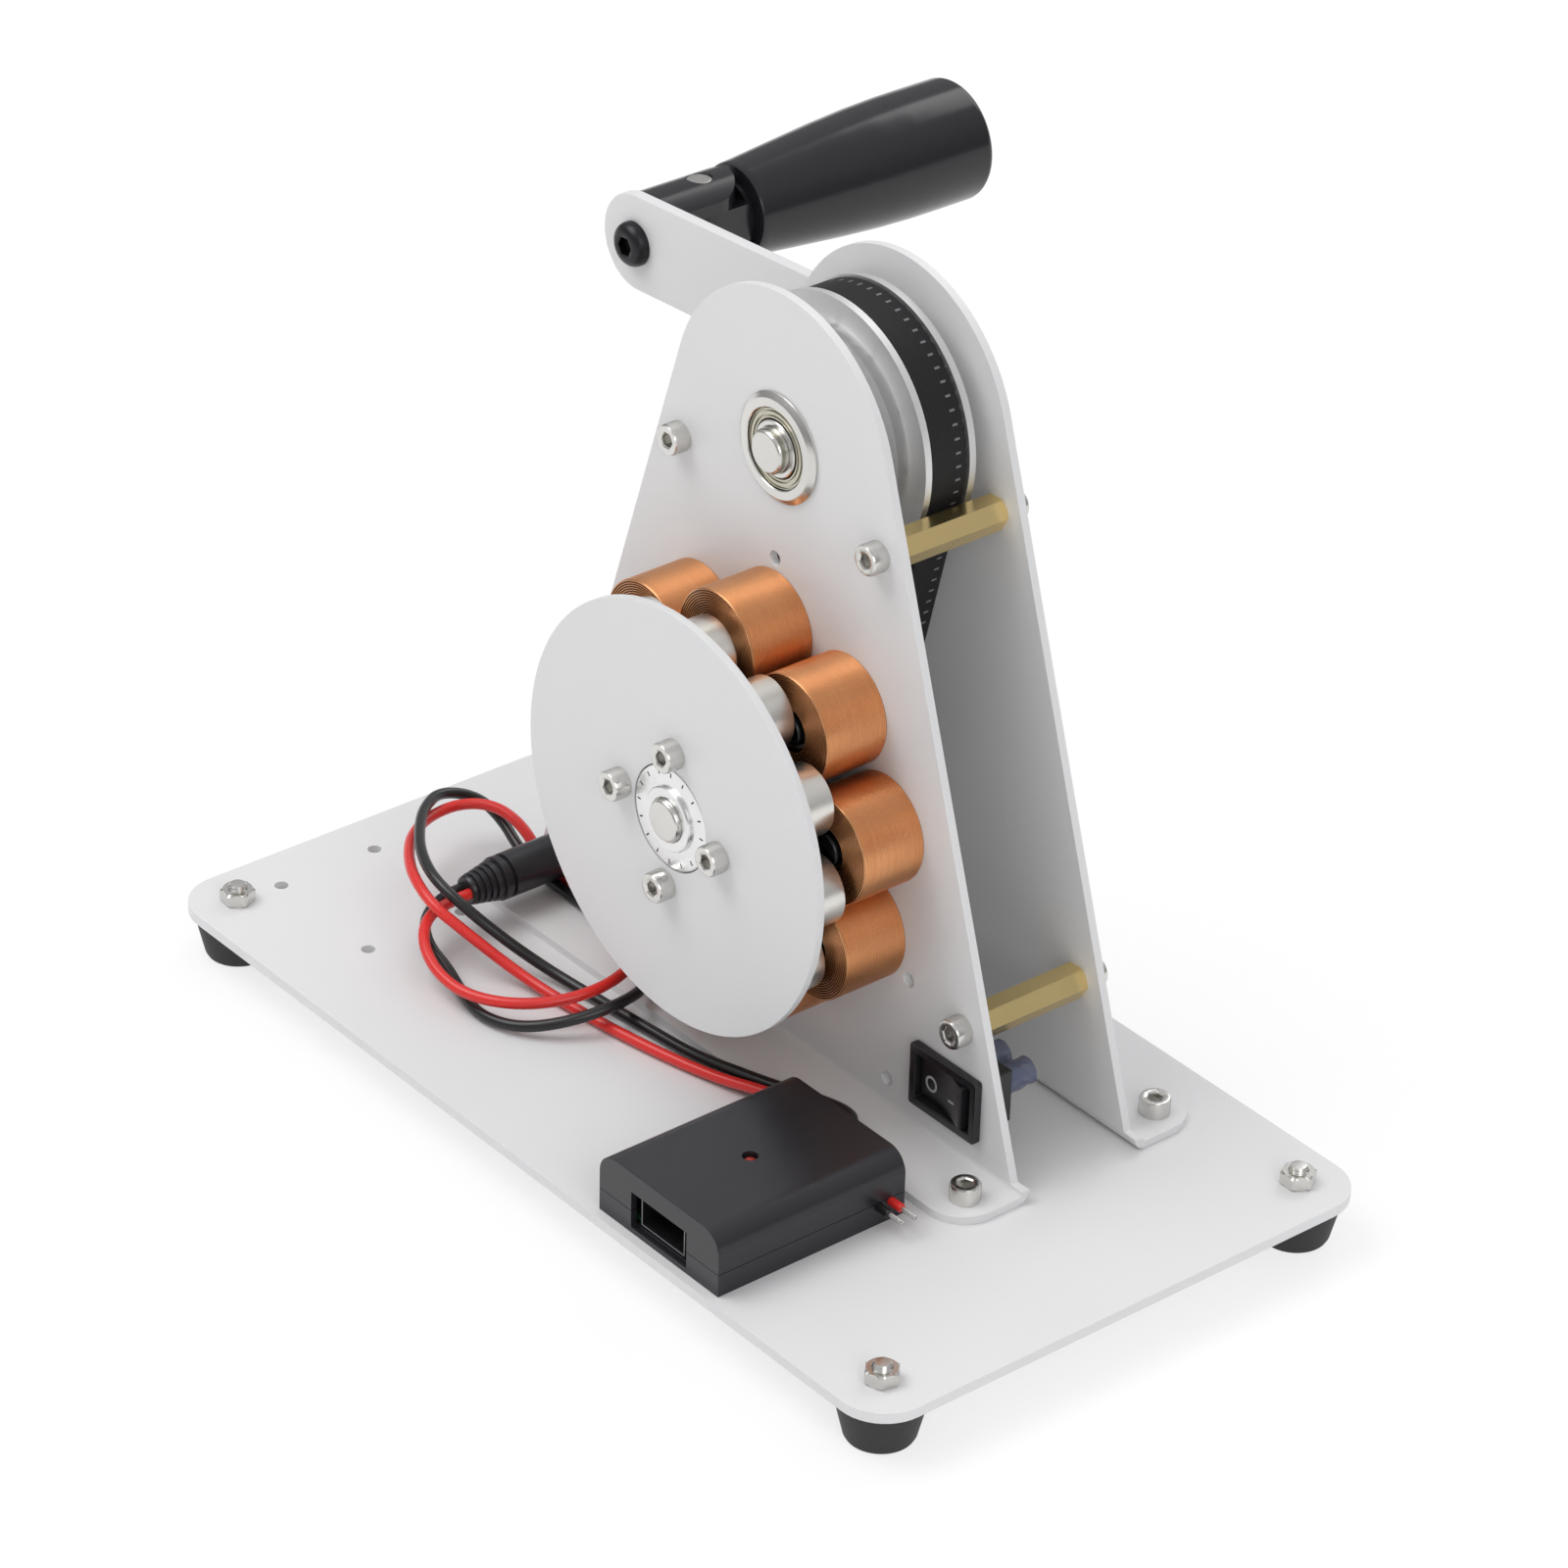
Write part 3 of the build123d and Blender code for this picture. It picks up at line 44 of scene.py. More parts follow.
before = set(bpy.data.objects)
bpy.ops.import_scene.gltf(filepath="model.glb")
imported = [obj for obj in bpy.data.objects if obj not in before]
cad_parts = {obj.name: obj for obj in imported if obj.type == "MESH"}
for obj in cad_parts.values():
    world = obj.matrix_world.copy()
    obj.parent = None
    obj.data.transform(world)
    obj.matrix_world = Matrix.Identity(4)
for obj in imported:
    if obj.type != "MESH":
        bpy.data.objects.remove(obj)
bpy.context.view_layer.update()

MM = 0.001

# Places shared by several pieces, in millimetres
SHAFT_X = -1.66
ROTOR_Z = 63.4
CRANK_Z = 143.615
FRONT_FACE = 5.24
REAR_FACE = 39.24
PLATE = 2.0
DISC_FRONT = -22.3
DISC_BACK = -20.3
COIL_FRONT = -10.76
CORE_FRONT = -8.96
COIL_CIRCLE = 38.5
COIL_RADIUS = 12.5
COIL_SIDES = 48
ARM_FRONT = 49.5
LARGE_PITCH = 28.648
SMALL_PITCH = 9.549
BELT_BACK = 0.87
ARM_BACK = 52.5
ARM_LENGTH = 105.6
ARM_DROOP = 3.95
FOOT_TOP = -2.5
FLOOR = -13.5
SCREW_RADIUS = 2.0
HEAD_RADIUS = 3.5
HEAD_HEIGHT = 4.0
NUT_FLATS = 7.0
NUT_HEIGHT = 3.2
SHAFT_RADIUS = 5.0
COLLAR_BORE = 5.05
BEARING_WIDTH = 6.0
BEARING_FLANGE = 1.5
STANDOFF_LENGTH = 30.0
COIL_COUNT = 9
MAGNET_COUNT = 12
HUB_MARKS = 16
BELT_TEETH = 95
WASHER = 0.8
ARM_WASHER = 1.2
SWITCH_X = 59.7
SWITCH_Z = 15.8
STATUS_LAMP_PLACE = (52.3, -42.7, 0)
SOCKET_X = 51.6
BOX_SIDE_X = 69.9
CUT_WIRE_Z = 4.6
CUT_WIRE_LENGTH = 5.2
CUT_WIRES = {"red": -20.0, "black": -23.4}
WIRE_DIAMETER = 2.6
LEAD_DIAMETER = 0.8
FOOT_PLACES = [(x, y) for x in (113.5, -113.5) for y in (57.5, -57.5)]
FLANGE_PLACES = [(SHAFT_X + side * 79.0, y) for y in (-4.56, 49.04) for side in (-1, 1)]
STANDOFF_PLACES = [(SHAFT_X + side * x, z) for x, z in ((32.8, 132.5), (65.0, 33.3)) for side in (-1, 1)]

# +Z of a turned piece points to the front, -Y, or to the back, +Y
TO_FRONT = Matrix.Rotation(radians(90), 4, "X")
TO_BACK = Matrix.Rotation(radians(-90), 4, "X")


def moved(x, y, z):
    """Shift in millimetres as a matrix in metres."""
    return Matrix.Translation(Vector((x, y, z)) * MM)


def axis_y(x, z):
    """Places a turned piece whose heights are stations along Y."""
    return moved(x, 0, z) @ TO_BACK


CRANK_AXIS = axis_y(SHAFT_X, CRANK_Z)
ROTOR_AXIS = axis_y(SHAFT_X, ROTOR_Z)
ARM_END = moved(
    SHAFT_X - ARM_LENGTH * cos(radians(ARM_DROOP)), 0, CRANK_Z - ARM_LENGTH * sin(radians(ARM_DROOP))
) @ Matrix.Rotation(radians(-ARM_DROOP), 4, "Y")


def ring_places(count, radius, first, y):
    """Even places on a circle about the rotor's axis."""
    turns = [radians(first - 360 / count * i) for i in range(count)]
    return [(SHAFT_X + radius * cos(a), y, ROTOR_Z + radius * sin(a)) for a in turns]


def coil_places(y):
    """Places of the coils at a station along Y."""
    return ring_places(COIL_COUNT, COIL_CIRCLE, 90, y)


# ---------------------------------------------------------------- finishes


def wired(tree, kind, inputs=(), **settings):
    """New node of a tree with its settings, and a value or another node's socket for each input."""
    made = tree.nodes.new(kind)
    for key, value in settings.items():
        setattr(made, key, value)
    for key, value in dict(inputs).items():
        if isinstance(value, bpy.types.NodeSocket):
            tree.links.new(value, made.inputs[key])
        else:
            made.inputs[key].default_value = value
    return made


class Tone:
    """A socket of a finish's tree that Python's operators work on."""

    def __init__(self, finish, socket):
        self.finish = finish
        self.socket = socket

    def _with(self, operation, first, second):
        return self.finish.node("ShaderNodeMath", {0: first, 1: second}, operation=operation)

    def __add__(self, other):
        return self._with("ADD", self, other)

    def __mul__(self, other):
        return self._with("MULTIPLY", self, other)

    __radd__ = __add__
    __rmul__ = __mul__


class Finish:
    """A procedural material round one Principled shader."""

    def __init__(self, name, colour, roughness, metallic=0.0, **constants):
        self.material = bpy.data.materials.new(name)
        self.material.use_nodes = True
        self.tree = self.material.node_tree
        self.shader = self.tree.nodes["Principled BSDF"]
        self.shader.inputs["Base Color"].default_value = (*colour, 1)
        self.shader.inputs["Roughness"].default_value = roughness
        self.shader.inputs["Metallic"].default_value = metallic
        for socket, value in constants.items():
            self.shader.inputs[socket.replace("_", " ").title().replace("Ior", "IOR")].default_value = value

    def node(self, kind, inputs=(), output=0, **settings):
        sockets = {key: tone.socket if isinstance(tone, Tone) else tone for key, tone in dict(inputs).items()}
        return Tone(self, wired(self.tree, kind, sockets, **settings).outputs[output])

    def place(self, scale=(1, 1, 1)):
        """Object coordinates, stretched."""
        where = self.node("ShaderNodeTexCoord", output="Object")
        return self.node("ShaderNodeMapping", {"Vector": where, "Scale": scale})

    def noise(self, scale, detail=3.0, stretch=(1, 1, 1)):
        inputs = {"Vector": self.place(stretch), "Scale": scale, "Detail": detail}
        return self.node("ShaderNodeTexNoise", inputs)

    def colours(self, factor, first, second):
        """Mix of two colours by a factor."""
        inputs = {0: factor, 6: (*first, 1), 7: (*second, 1)}
        return self.node("ShaderNodeMix", inputs, 2, data_type="RGBA")

    def feed(self, socket, tone):
        self.tree.links.new(tone.socket, self.shader.inputs[socket])
        return self

    def bump(self, height, strength, depth):
        inputs = {"Height": height, "Strength": strength, "Distance": depth * MM}
        return self.feed("Normal", self.node("ShaderNodeBump", inputs))


def powder_white(colour):
    """Smooth powder coat with a faint orange peel."""
    made = Finish("powder_white", colour, 0.38)
    patch = made.noise(14)
    made.feed("Base Color", made.colours(patch, colour, [c * 0.965 for c in colour]))
    made.feed("Roughness", 0.34 + made.noise(300) * 0.12)
    return made.bump(made.noise(1100, 2.0) + made.noise(3800, 1.0) * 0.4, 0.10, 0.08)


def metal(name, colour, roughness, grain=(1, 1, 1), strength=0.06, spread=0.16):
    """Bare or plated metal with faint machining marks."""
    made = Finish(name, colour, roughness, 1.0)
    marks = made.noise(900, 4.0, grain)
    cloud = made.noise(60)
    made.feed("Base Color", made.colours(cloud, colour, [c * 0.82 for c in colour]))
    made.feed("Roughness", marks * spread + (roughness - spread / 2))
    return made.bump(marks, strength, 0.05)


def turned_metal(name, colour, roughness, centre_z):
    """Metal faced on a lathe: fine rings about an axis along Y."""
    made = Finish(name, colour, roughness, 1.0)
    where = made.node("ShaderNodeTexCoord", output="Object")
    centred = {"Vector": where, "Location": (-SHAFT_X * MM, 0, -centre_z * MM)}
    shifted = made.node("ShaderNodeMapping", centred)
    flat = made.node("ShaderNodeVectorMath", {0: shifted, 1: (1, 0, 1)}, operation="MULTIPLY")
    distance = made.node("ShaderNodeVectorMath", {0: flat}, 1, operation="LENGTH")
    rings = made.node("ShaderNodeMath", {0: distance * 14000}, operation="SINE")
    marks = rings * 0.3 + made.noise(700)
    made.feed("Roughness", marks * 0.12 + roughness)
    made.feed("Base Color", made.colours(made.noise(90), colour, [c * 0.88 for c in colour]))
    return made.bump(marks, 0.10, 0.03)


def plastic(name, colour, roughness, grain=2600, strength=0.08, **constants):
    """Moulded plastic or rubber with a fine skin."""
    made = Finish(name, colour, roughness, **constants)
    skin = made.noise(grain, 2.0)
    made.feed("Base Color", made.colours(made.noise(120), colour, [c * 0.8 + 0.004 for c in colour]))
    made.feed("Roughness", skin * 0.10 + made.noise(40) * 0.08 + (roughness - 0.09))
    return made.bump(skin, strength, 0.05)


def copper_winding(bright, deep):
    """Enamelled copper: warm and glossy, with painted shade darkening the grooves between turns."""
    made = Finish("copper_winding", bright, 0.3, 0.9, coat_weight=0.3, coat_roughness=0.2)
    turn = made.noise(90, 3.0, (0.25, 24, 0.25))
    # The attribute read here marks painted shade: high in the grooves between turns and layers, nought on the
    # wire's crests.
    groove_shade = made.node("ShaderNodeAttribute", output="Fac", attribute_name="groove_shade")
    lit = made.colours(turn * 0.45 + made.noise(130) * 0.25, bright, deep)
    # Near-black brown mixed in as painted shade where that attribute is high.
    shades = {0: groove_shade, 6: lit, 7: (0.07, 0.018, 0.006, 1)}
    made.feed("Base Color", made.node("ShaderNodeMix", shades, 2, data_type="RGBA"))
    made.feed("Roughness", 0.24 + turn * 0.2)
    return made.bump(turn, 0.2, 0.04)


def belt_rubber():
    """Black belt whose back shows the lines of its cords."""
    made = Finish("belt_rubber", (0.02, 0.02, 0.021), 0.62, specular_ior_level=0.25)
    wave = {"Vector": made.place(), "Scale": 330.0, "Distortion": 0.6}
    lines = made.node("ShaderNodeTexWave", wave, bands_direction="Y")
    skin = made.noise(1700, 3.0)
    shade = skin * 0.7 + lines * 0.3
    made.feed("Base Color", made.colours(shade, (0.007, 0.007, 0.008), (0.02, 0.02, 0.021)))
    made.feed("Roughness", 0.52 + skin * 0.2)
    return made.bump(lines * 0.5 + skin, 0.25, 0.08)


def clear_sleeve():
    """Bluish clear tube, cloudy in places."""
    made = Finish("clear_sleeve", (0.13, 0.15, 0.24), 0.22)
    made.feed("Alpha", 0.5 + made.noise(260) * 0.4)
    return made.bump(made.noise(500), 0.4, 0.3)


FINISHES = {}


def make_finishes(colours):
    """All finishes of the object, by the name of the record's material slot they belong to."""
    black = (0.016, 0.016, 0.018)
    FINISHES.update(
        powder_white=powder_white(tuple(colours.powder)),
        zinc_steel=metal("zinc_steel", (0.74, 0.73, 0.70), 0.24),
        black_screws=metal("black_screws", (0.045, 0.045, 0.048), 0.38),
        brass=metal("brass", (1.0, 0.78, 0.36), 0.24, (1, 0.08, 1), 0.02, 0.08),
        bearing_shield=turned_metal("bearing_shield", (0.58, 0.56, 0.47), 0.26, CRANK_Z),
        pulley_aluminium=metal("pulley_aluminium", (0.84, 0.84, 0.84), 0.50, (1, 1, 1), 0.10),
        hub_aluminium=turned_metal("hub_aluminium", (0.86, 0.86, 0.86), 0.20, ROTOR_Z),
        magnet_nickel=metal("magnet_nickel", (0.88, 0.86, 0.81), 0.32, (1, 1, 1), 0.02, 0.1),
        copper_wire=copper_winding(tuple(colours.copper), (0.60, 0.21, 0.06)),
        core_plastic=plastic("core_plastic", black, 0.5),
        foot_rubber=plastic("foot_rubber", (0.018, 0.018, 0.018), 0.62, 1500, 0.2),
        belt_rubber=belt_rubber(),
        grip_plastic=plastic("grip_plastic", (0.010, 0.010, 0.013), 0.20, 2600, 0.015),
        switch_plastic=plastic("switch_plastic", (0.014, 0.014, 0.016), 0.24, 1200, 0.05),
        case_plastic=plastic("case_plastic", (0.017, 0.017, 0.021), 0.31, 1500, 0.08),
        sleeve_clear=clear_sleeve(),
        tongue_plastic=plastic("tongue_plastic", (0.02, 0.02, 0.022), 0.4),
        # Steel of the socket's shell, darkened as painted shade for the inside of the socket's opening.
        socket_steel=metal("socket_steel", (0.20, 0.20, 0.21), 0.35),
        board_green=plastic("board_green", (0.03, 0.16, 0.08), 0.35),
        lamp_plastic=plastic("lamp_plastic", (0.38, 0.03, 0.02), 0.2),
        wire_red=plastic("wire_red", tuple(colours.wire), 0.3, 700, 0.05),
        wire_black=plastic("wire_black", (0.012, 0.012, 0.013), 0.3, 700, 0.05),
        tinned_wire=metal("tinned_wire", (0.76, 0.75, 0.73), 0.3),
        mark_white=plastic("mark_white", (0.45, 0.45, 0.45), 0.4),
        mark_grey=plastic("mark_grey", (0.19, 0.19, 0.20), 0.5),
    )


# ---------------------------------------------------------------- shapes


def hexagonal(flats):
    """Radius of a hexagon at an angle, one corner at angle 0."""
    return lambda angle: flats / 2 / cos((angle % (pi / 3)) - pi / 6)


def knurled(radius, depth, count):
    """Radius of a knurled rim at an angle."""
    return lambda angle: radius - depth * (floor(angle / (2 * pi) * 2 * count + 0.5) % 2)


def turned(rings, segments=48, loop=False):
    """Mesh turned about Z from (radius, height) rings in millimetres. A radius may depend on the angle."""
    bm = bmesh.new()
    rows = []
    for radius, height in rings:
        if radius == 0:
            rows.append([bm.verts.new((0, 0, height * MM))])
            continue
        row = []
        for i in range(segments):
            angle = 2 * pi * i / segments
            r = radius(angle) if callable(radius) else radius
            row.append(bm.verts.new((r * cos(angle) * MM, r * sin(angle) * MM, height * MM)))
        rows.append(row)
    pairs = list(zip(rows, rows[1:])) + ([(rows[-1], rows[0])] if loop else [])
    for low, high in pairs:
        for i in range(segments):
            around = ((low, i), (low, i + 1), (high, i + 1), (high, i))
            corners = [row[j % len(row)] for row, j in around]
            bm.faces.new(dict.fromkeys(corners))
    bmesh.ops.recalc_face_normals(bm, faces=bm.faces)
    mesh = bpy.data.meshes.new("turned")
    bm.to_mesh(mesh)
    bm.free()
    return smooth(mesh, 40)


def smooth(mesh, angle=32):
    """Smooth shading with sharp edges kept."""
    mesh.shade_smooth()
    mesh.set_sharp_from_angle(angle=radians(angle))
    return mesh


def placed(name, data):
    """New object in the scene."""
    made = bpy.data.objects.new(name, data)
    bpy.context.scene.collection.objects.link(made)
    return made


def finished(name, mesh, body, slot, place=None, finish=None):
    """Puts a mesh into the scene, its place in the mesh and its flat faces shading flat.

    A mesh with the name of a CAD node stands for that node, and any other is a small detail of its own."""
    is_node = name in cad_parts
    if place is not None:
        mesh.transform(place)
    piece = placed(f"{name}_piece" if is_node else name, mesh)
    weighting = piece.modifiers.new("weighting", "WEIGHTED_NORMAL")
    weighting.keep_sharp = True
    seen = piece.evaluated_get(bpy.context.evaluated_depsgraph_get())
    piece.data = bpy.data.meshes.new_from_object(seen)
    piece.modifiers.remove(weighting)
    piece.data.materials.clear()
    piece.data.materials.append(FINISHES[finish or slot].material)
    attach(piece, body)
    if is_node:
        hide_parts(name)


def softened(node, body, slot, width=0.0, finish=None, angle=32, segments=2):
    """A CAD node's shape with merged faces, rounded edges and smooth curves, standing for that node."""
    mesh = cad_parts[node].data.copy()
    bm = bmesh.new()
    bm.from_mesh(mesh)
    bmesh.ops.remove_doubles(bm, verts=bm.verts, dist=0.002 * MM)
    bmesh.ops.dissolve_limit(bm, angle_limit=radians(0.6), verts=bm.verts, edges=bm.edges)
    if width:
        sharp = [e for e in bm.edges if len(e.link_faces) == 2 and e.calc_face_angle(0) > radians(angle)]
        bmesh.ops.bevel(
            bm, geom=sharp, offset=width * MM, segments=segments, profile=0.5, affect="EDGES",
            clamp_overlap=True,
        )
    bmesh.ops.triangulate(bm, faces=[f for f in bm.faces if len(f.verts) > 4])
    bm.to_mesh(mesh)
    bm.free()
    finished(node, smooth(mesh, angle), body, slot, finish=finish)


def copies_tree():
    """Geometry Nodes tree that sets copies of a source object on points, each turned as its point says."""
    name = "copies_on_points"
    if name in bpy.data.node_groups:
        return bpy.data.node_groups[name]
    tree = bpy.data.node_groups.new(name, "GeometryNodeTree")
    face = tree.interface
    face.new_socket("Geometry", in_out="INPUT", socket_type="NodeSocketGeometry")
    face.new_socket("Source", in_out="INPUT", socket_type="NodeSocketObject")
    face.new_socket("Finish", in_out="INPUT", socket_type="NodeSocketMaterial")
    face.new_socket("Geometry", in_out="OUTPUT", socket_type="NodeSocketGeometry")
    given = wired(tree, "NodeGroupInput").outputs
    source = wired(tree, "GeometryNodeObjectInfo", {"Object": given["Source"]})
    turn = wired(tree, "GeometryNodeInputNamedAttribute", {"Name": "turn"}, data_type="FLOAT_VECTOR")
    sources = {
        "Points": given["Geometry"],
        "Instance": source.outputs["Geometry"],
        "Rotation": turn.outputs["Attribute"],
    }
    on_points = wired(tree, "GeometryNodeInstanceOnPoints", sources)
    real = wired(tree, "GeometryNodeRealizeInstances", {"Geometry": on_points.outputs["Instances"]})
    coated = {"Geometry": real.outputs["Geometry"], "Material": given["Finish"]}
    coat = wired(tree, "GeometryNodeSetMaterial", coated)
    wired(tree, "NodeGroupOutput", {"Geometry": coat.outputs["Geometry"]})
    return tree


def stepped(turn, step, count):
    """A turn for each of several copies, each a step further about its own axis."""
    return [turn @ Matrix.Rotation(step * i, 4, "Z") for i in range(count)]


def copies(name, mesh, places, body, slot, turn=Matrix(), step=0.0, turns=None, finish=None):
    """One piece made of copies of a mesh at places in millimetres, turned each by its own turn or step."""
    source = placed("copy_source", mesh)
    points = bpy.data.meshes.new("copy_places")
    points.from_pydata([Vector(p) * MM for p in places], [], [])
    turns = turns or stepped(turn, step, len(places))
    angles = points.attributes.new("turn", "FLOAT_VECTOR", "POINT")
    angles.data.foreach_set("vector", [angle for matrix in turns for angle in matrix.to_euler()])
    holder = placed("copy_holder", points)
    modifier = holder.modifiers.new("copies", "NODES")
    modifier.node_group = copies_tree()
    sockets = {s.name: s.identifier for s in modifier.node_group.interface.items_tree if s.in_out == "INPUT"}
    modifier[sockets["Source"]] = source
    modifier[sockets["Finish"]] = FINISHES[finish or slot].material
    seen = holder.evaluated_get(bpy.context.evaluated_depsgraph_get())
    result = bpy.data.meshes.new_from_object(seen)
    holder.modifiers.remove(modifier)
    for made in (source, holder):
        bpy.data.objects.remove(made)
    finished(name, smooth(result), body, slot, finish=finish)


def brick(x, y, z):
    """Small rectangular block about the origin."""
    mesh = bpy.data.meshes.new("brick")
    bm = bmesh.new()
    bmesh.ops.create_cube(bm, size=1, matrix=Matrix.Diagonal((x * MM, y * MM, z * MM, 1)))
    bm.to_mesh(mesh)
    bm.free()
    return mesh


def threads(low, high, radius=SCREW_RADIUS, pitch=0.7, depth=0.3):
    """Rings of a thread between two heights."""
    count = max(1, round((high - low) / pitch))
    step = (high - low) / count
    rings = []
    for i in range(count):
        rings += [(radius - depth, low + step * i), (radius, low + step * (i + 0.5))]
    return rings + [(radius - depth, high)]


def cap_screw(length):
    """Socket cap screw with a knurled head, its seat at height 0."""
    rim = knurled(HEAD_RADIUS, 0.1, 24)
    top = HEAD_HEIGHT
    return turned(
        [(0, -length), *threads(-length, -0.1), (1.9, 0.0), (3.35, 0.0), (rim, 0.2), (rim, top - 0.5),
         (3.2, top - 0.05), (3.0, top), (2.05, top), (hexagonal(3.2), top - 0.2),
         (hexagonal(3.0), top - 0.3), (hexagonal(3.0), 1.2), (0, 0.9)]
    )


def low_screw(head, height, socket, length, thread_from):
    """Screw with a low rounded head, its seat at height 0, threaded from a depth on."""
    return turned(
        [(0, -length), *threads(-length, -thread_from), (SCREW_RADIUS, -thread_from + 0.1),
         (SCREW_RADIUS, 0.0), (head - 0.1, 0.0), (head, 0.1), (head, height - 0.6),
         (head - 0.25, height - 0.2), (head - 0.7, height), (socket * 0.66, height),
         (hexagonal(socket), height - 0.15), (hexagonal(socket), height - 1.0), (0, height - 1.15)]
    )


def nut(flats=NUT_FLATS, height=NUT_HEIGHT, bore=SCREW_RADIUS):
    """Hexagon nut with bevelled corners."""
    side = hexagonal(flats)
    edge = flats / 2 - 0.1
    return turned(
        [(bore, 0.25), (bore + 0.25, 0), (edge, 0), (side, 0.4), (side, height - 0.4), (edge, height),
         (bore + 0.25, height), (bore, height - 0.25)], loop=True
    )


def ring(bore, radius, low, high, edge=0.2, segments=96):
    """Flat ring or tube with softly broken edges."""
    return turned(
        [(bore, low), (radius - edge, low), (radius - edge * 0.3, low + edge * 0.3), (radius, low + edge),
         (radius, high - edge), (radius - edge * 0.3, high - edge * 0.3), (radius - edge, high),
         (bore, high)],
        segments, loop=True
    )


def joined(meshes):
    """Several meshes as one."""
    bm = bmesh.new()
    for mesh in meshes:
        bm.from_mesh(mesh)
    result = bpy.data.meshes.new("joined")
    bm.to_mesh(result)
    bm.free()
    return smooth(result)


def cord(node, route, radius, finish, steps):
    """Round cord along a route in millimetres, standing for a CAD node."""
    curve = bpy.data.curves.new(node, "CURVE")
    curve.dimensions = "3D"
    curve.bevel_depth = radius * MM
    curve.resolution_u = steps
    curve.use_fill_caps = True
    spline = curve.splines.new("NURBS")
    spline.points.add(len(route) - 1)
    for point, place in zip(spline.points, route):
        point.co = (*(Vector(place) * MM), 1)
    spline.order_u = 3
    spline.use_endpoint_u = True
    piece = placed(f"{node}_piece", curve)
    curve.materials.append(FINISHES[finish].material)
    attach(piece, "stand")
    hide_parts(node)
    return piece


# ---------------------------------------------------------------- settings


class GENERATOR_PG_finishes(bpy.types.PropertyGroup):
    """Colours of the object."""

    powder: bpy.props.FloatVectorProperty(
        name="Powder coat", description="Colour of the plates, the arm and the disc", subtype="COLOR",
        default=(0.77, 0.77, 0.775), min=0, max=1,
    )
    copper: bpy.props.FloatVectorProperty(
        name="Winding", description="Bright colour of the coils' wire", subtype="COLOR",
        default=(0.92, 0.46, 0.21), min=0, max=1,
    )
    wire: bpy.props.FloatVectorProperty(
        name="Red wire", description="Colour of the red wire", subtype="COLOR", default=(0.80, 0.03, 0.025),
        min=0, max=1,
    )


class GENERATOR_PG_coils(bpy.types.PropertyGroup):
    """Sizes of the coils' windings."""

    turns: bpy.props.IntProperty(
        name="Turns per layer", description="Turns of wire along one coil", default=38, min=8, max=60
    )
    layers: bpy.props.IntProperty(
        name="Layers", description="Layers of wire in one coil", default=14, min=4, max=30
    )


class GENERATOR_PG_stage(bpy.types.PropertyGroup):
    """The floor, the lamps and the camera."""

    key: bpy.props.FloatProperty(
        name="Key lamp", description="Power of the large lamp", subtype="POWER", unit="POWER",
        default=13.0, min=0,
    )
    lens: bpy.props.FloatProperty(
        name="Lens", description="Focal length of the camera", subtype="DISTANCE_CAMERA",
        default=139.7, min=20,
    )


# ---------------------------------------------------------------- pieces


class GENERATOR_OT_finishes(bpy.types.Operator):
    """Make the finishes that every piece uses"""

    bl_idname = "generator.finishes"
    bl_label = "Finishes"

    def execute(self, context):
        make_finishes(context.scene.generator_finishes)
        return {"FINISHED"}


CAMERA_AZIMUTH, CAMERA_ELEVATION, CAMERA_ROLL = radians(50.051), radians(31.101), radians(1.581)
CAMERA_PLACE = Vector((856.7888, -710.1304, 736.18608))
SENSOR_WIDTH = 36.0
WHITE = (1, 1, 1, 1)
FLOOR_GLOW_SHARE = 0.72
# Heights on the sky and their colours
WORLD_SHADES = ((0.0, (0.30, 0.30, 0.31, 1)), (0.7, (0.78, 0.78, 0.79, 1)))
# Name, place and size in metres, and share of the key lamp's power
LAMPS = (
    ("key_lamp", (-0.6, -0.65, 1.5), 1.1, 1.0),
    ("side_lamp", (1.35, -0.35, 0.75), 0.9, 0.42),
    ("back_lamp", (-0.35, 1.25, 1.05), 0.9, 0.4),
)


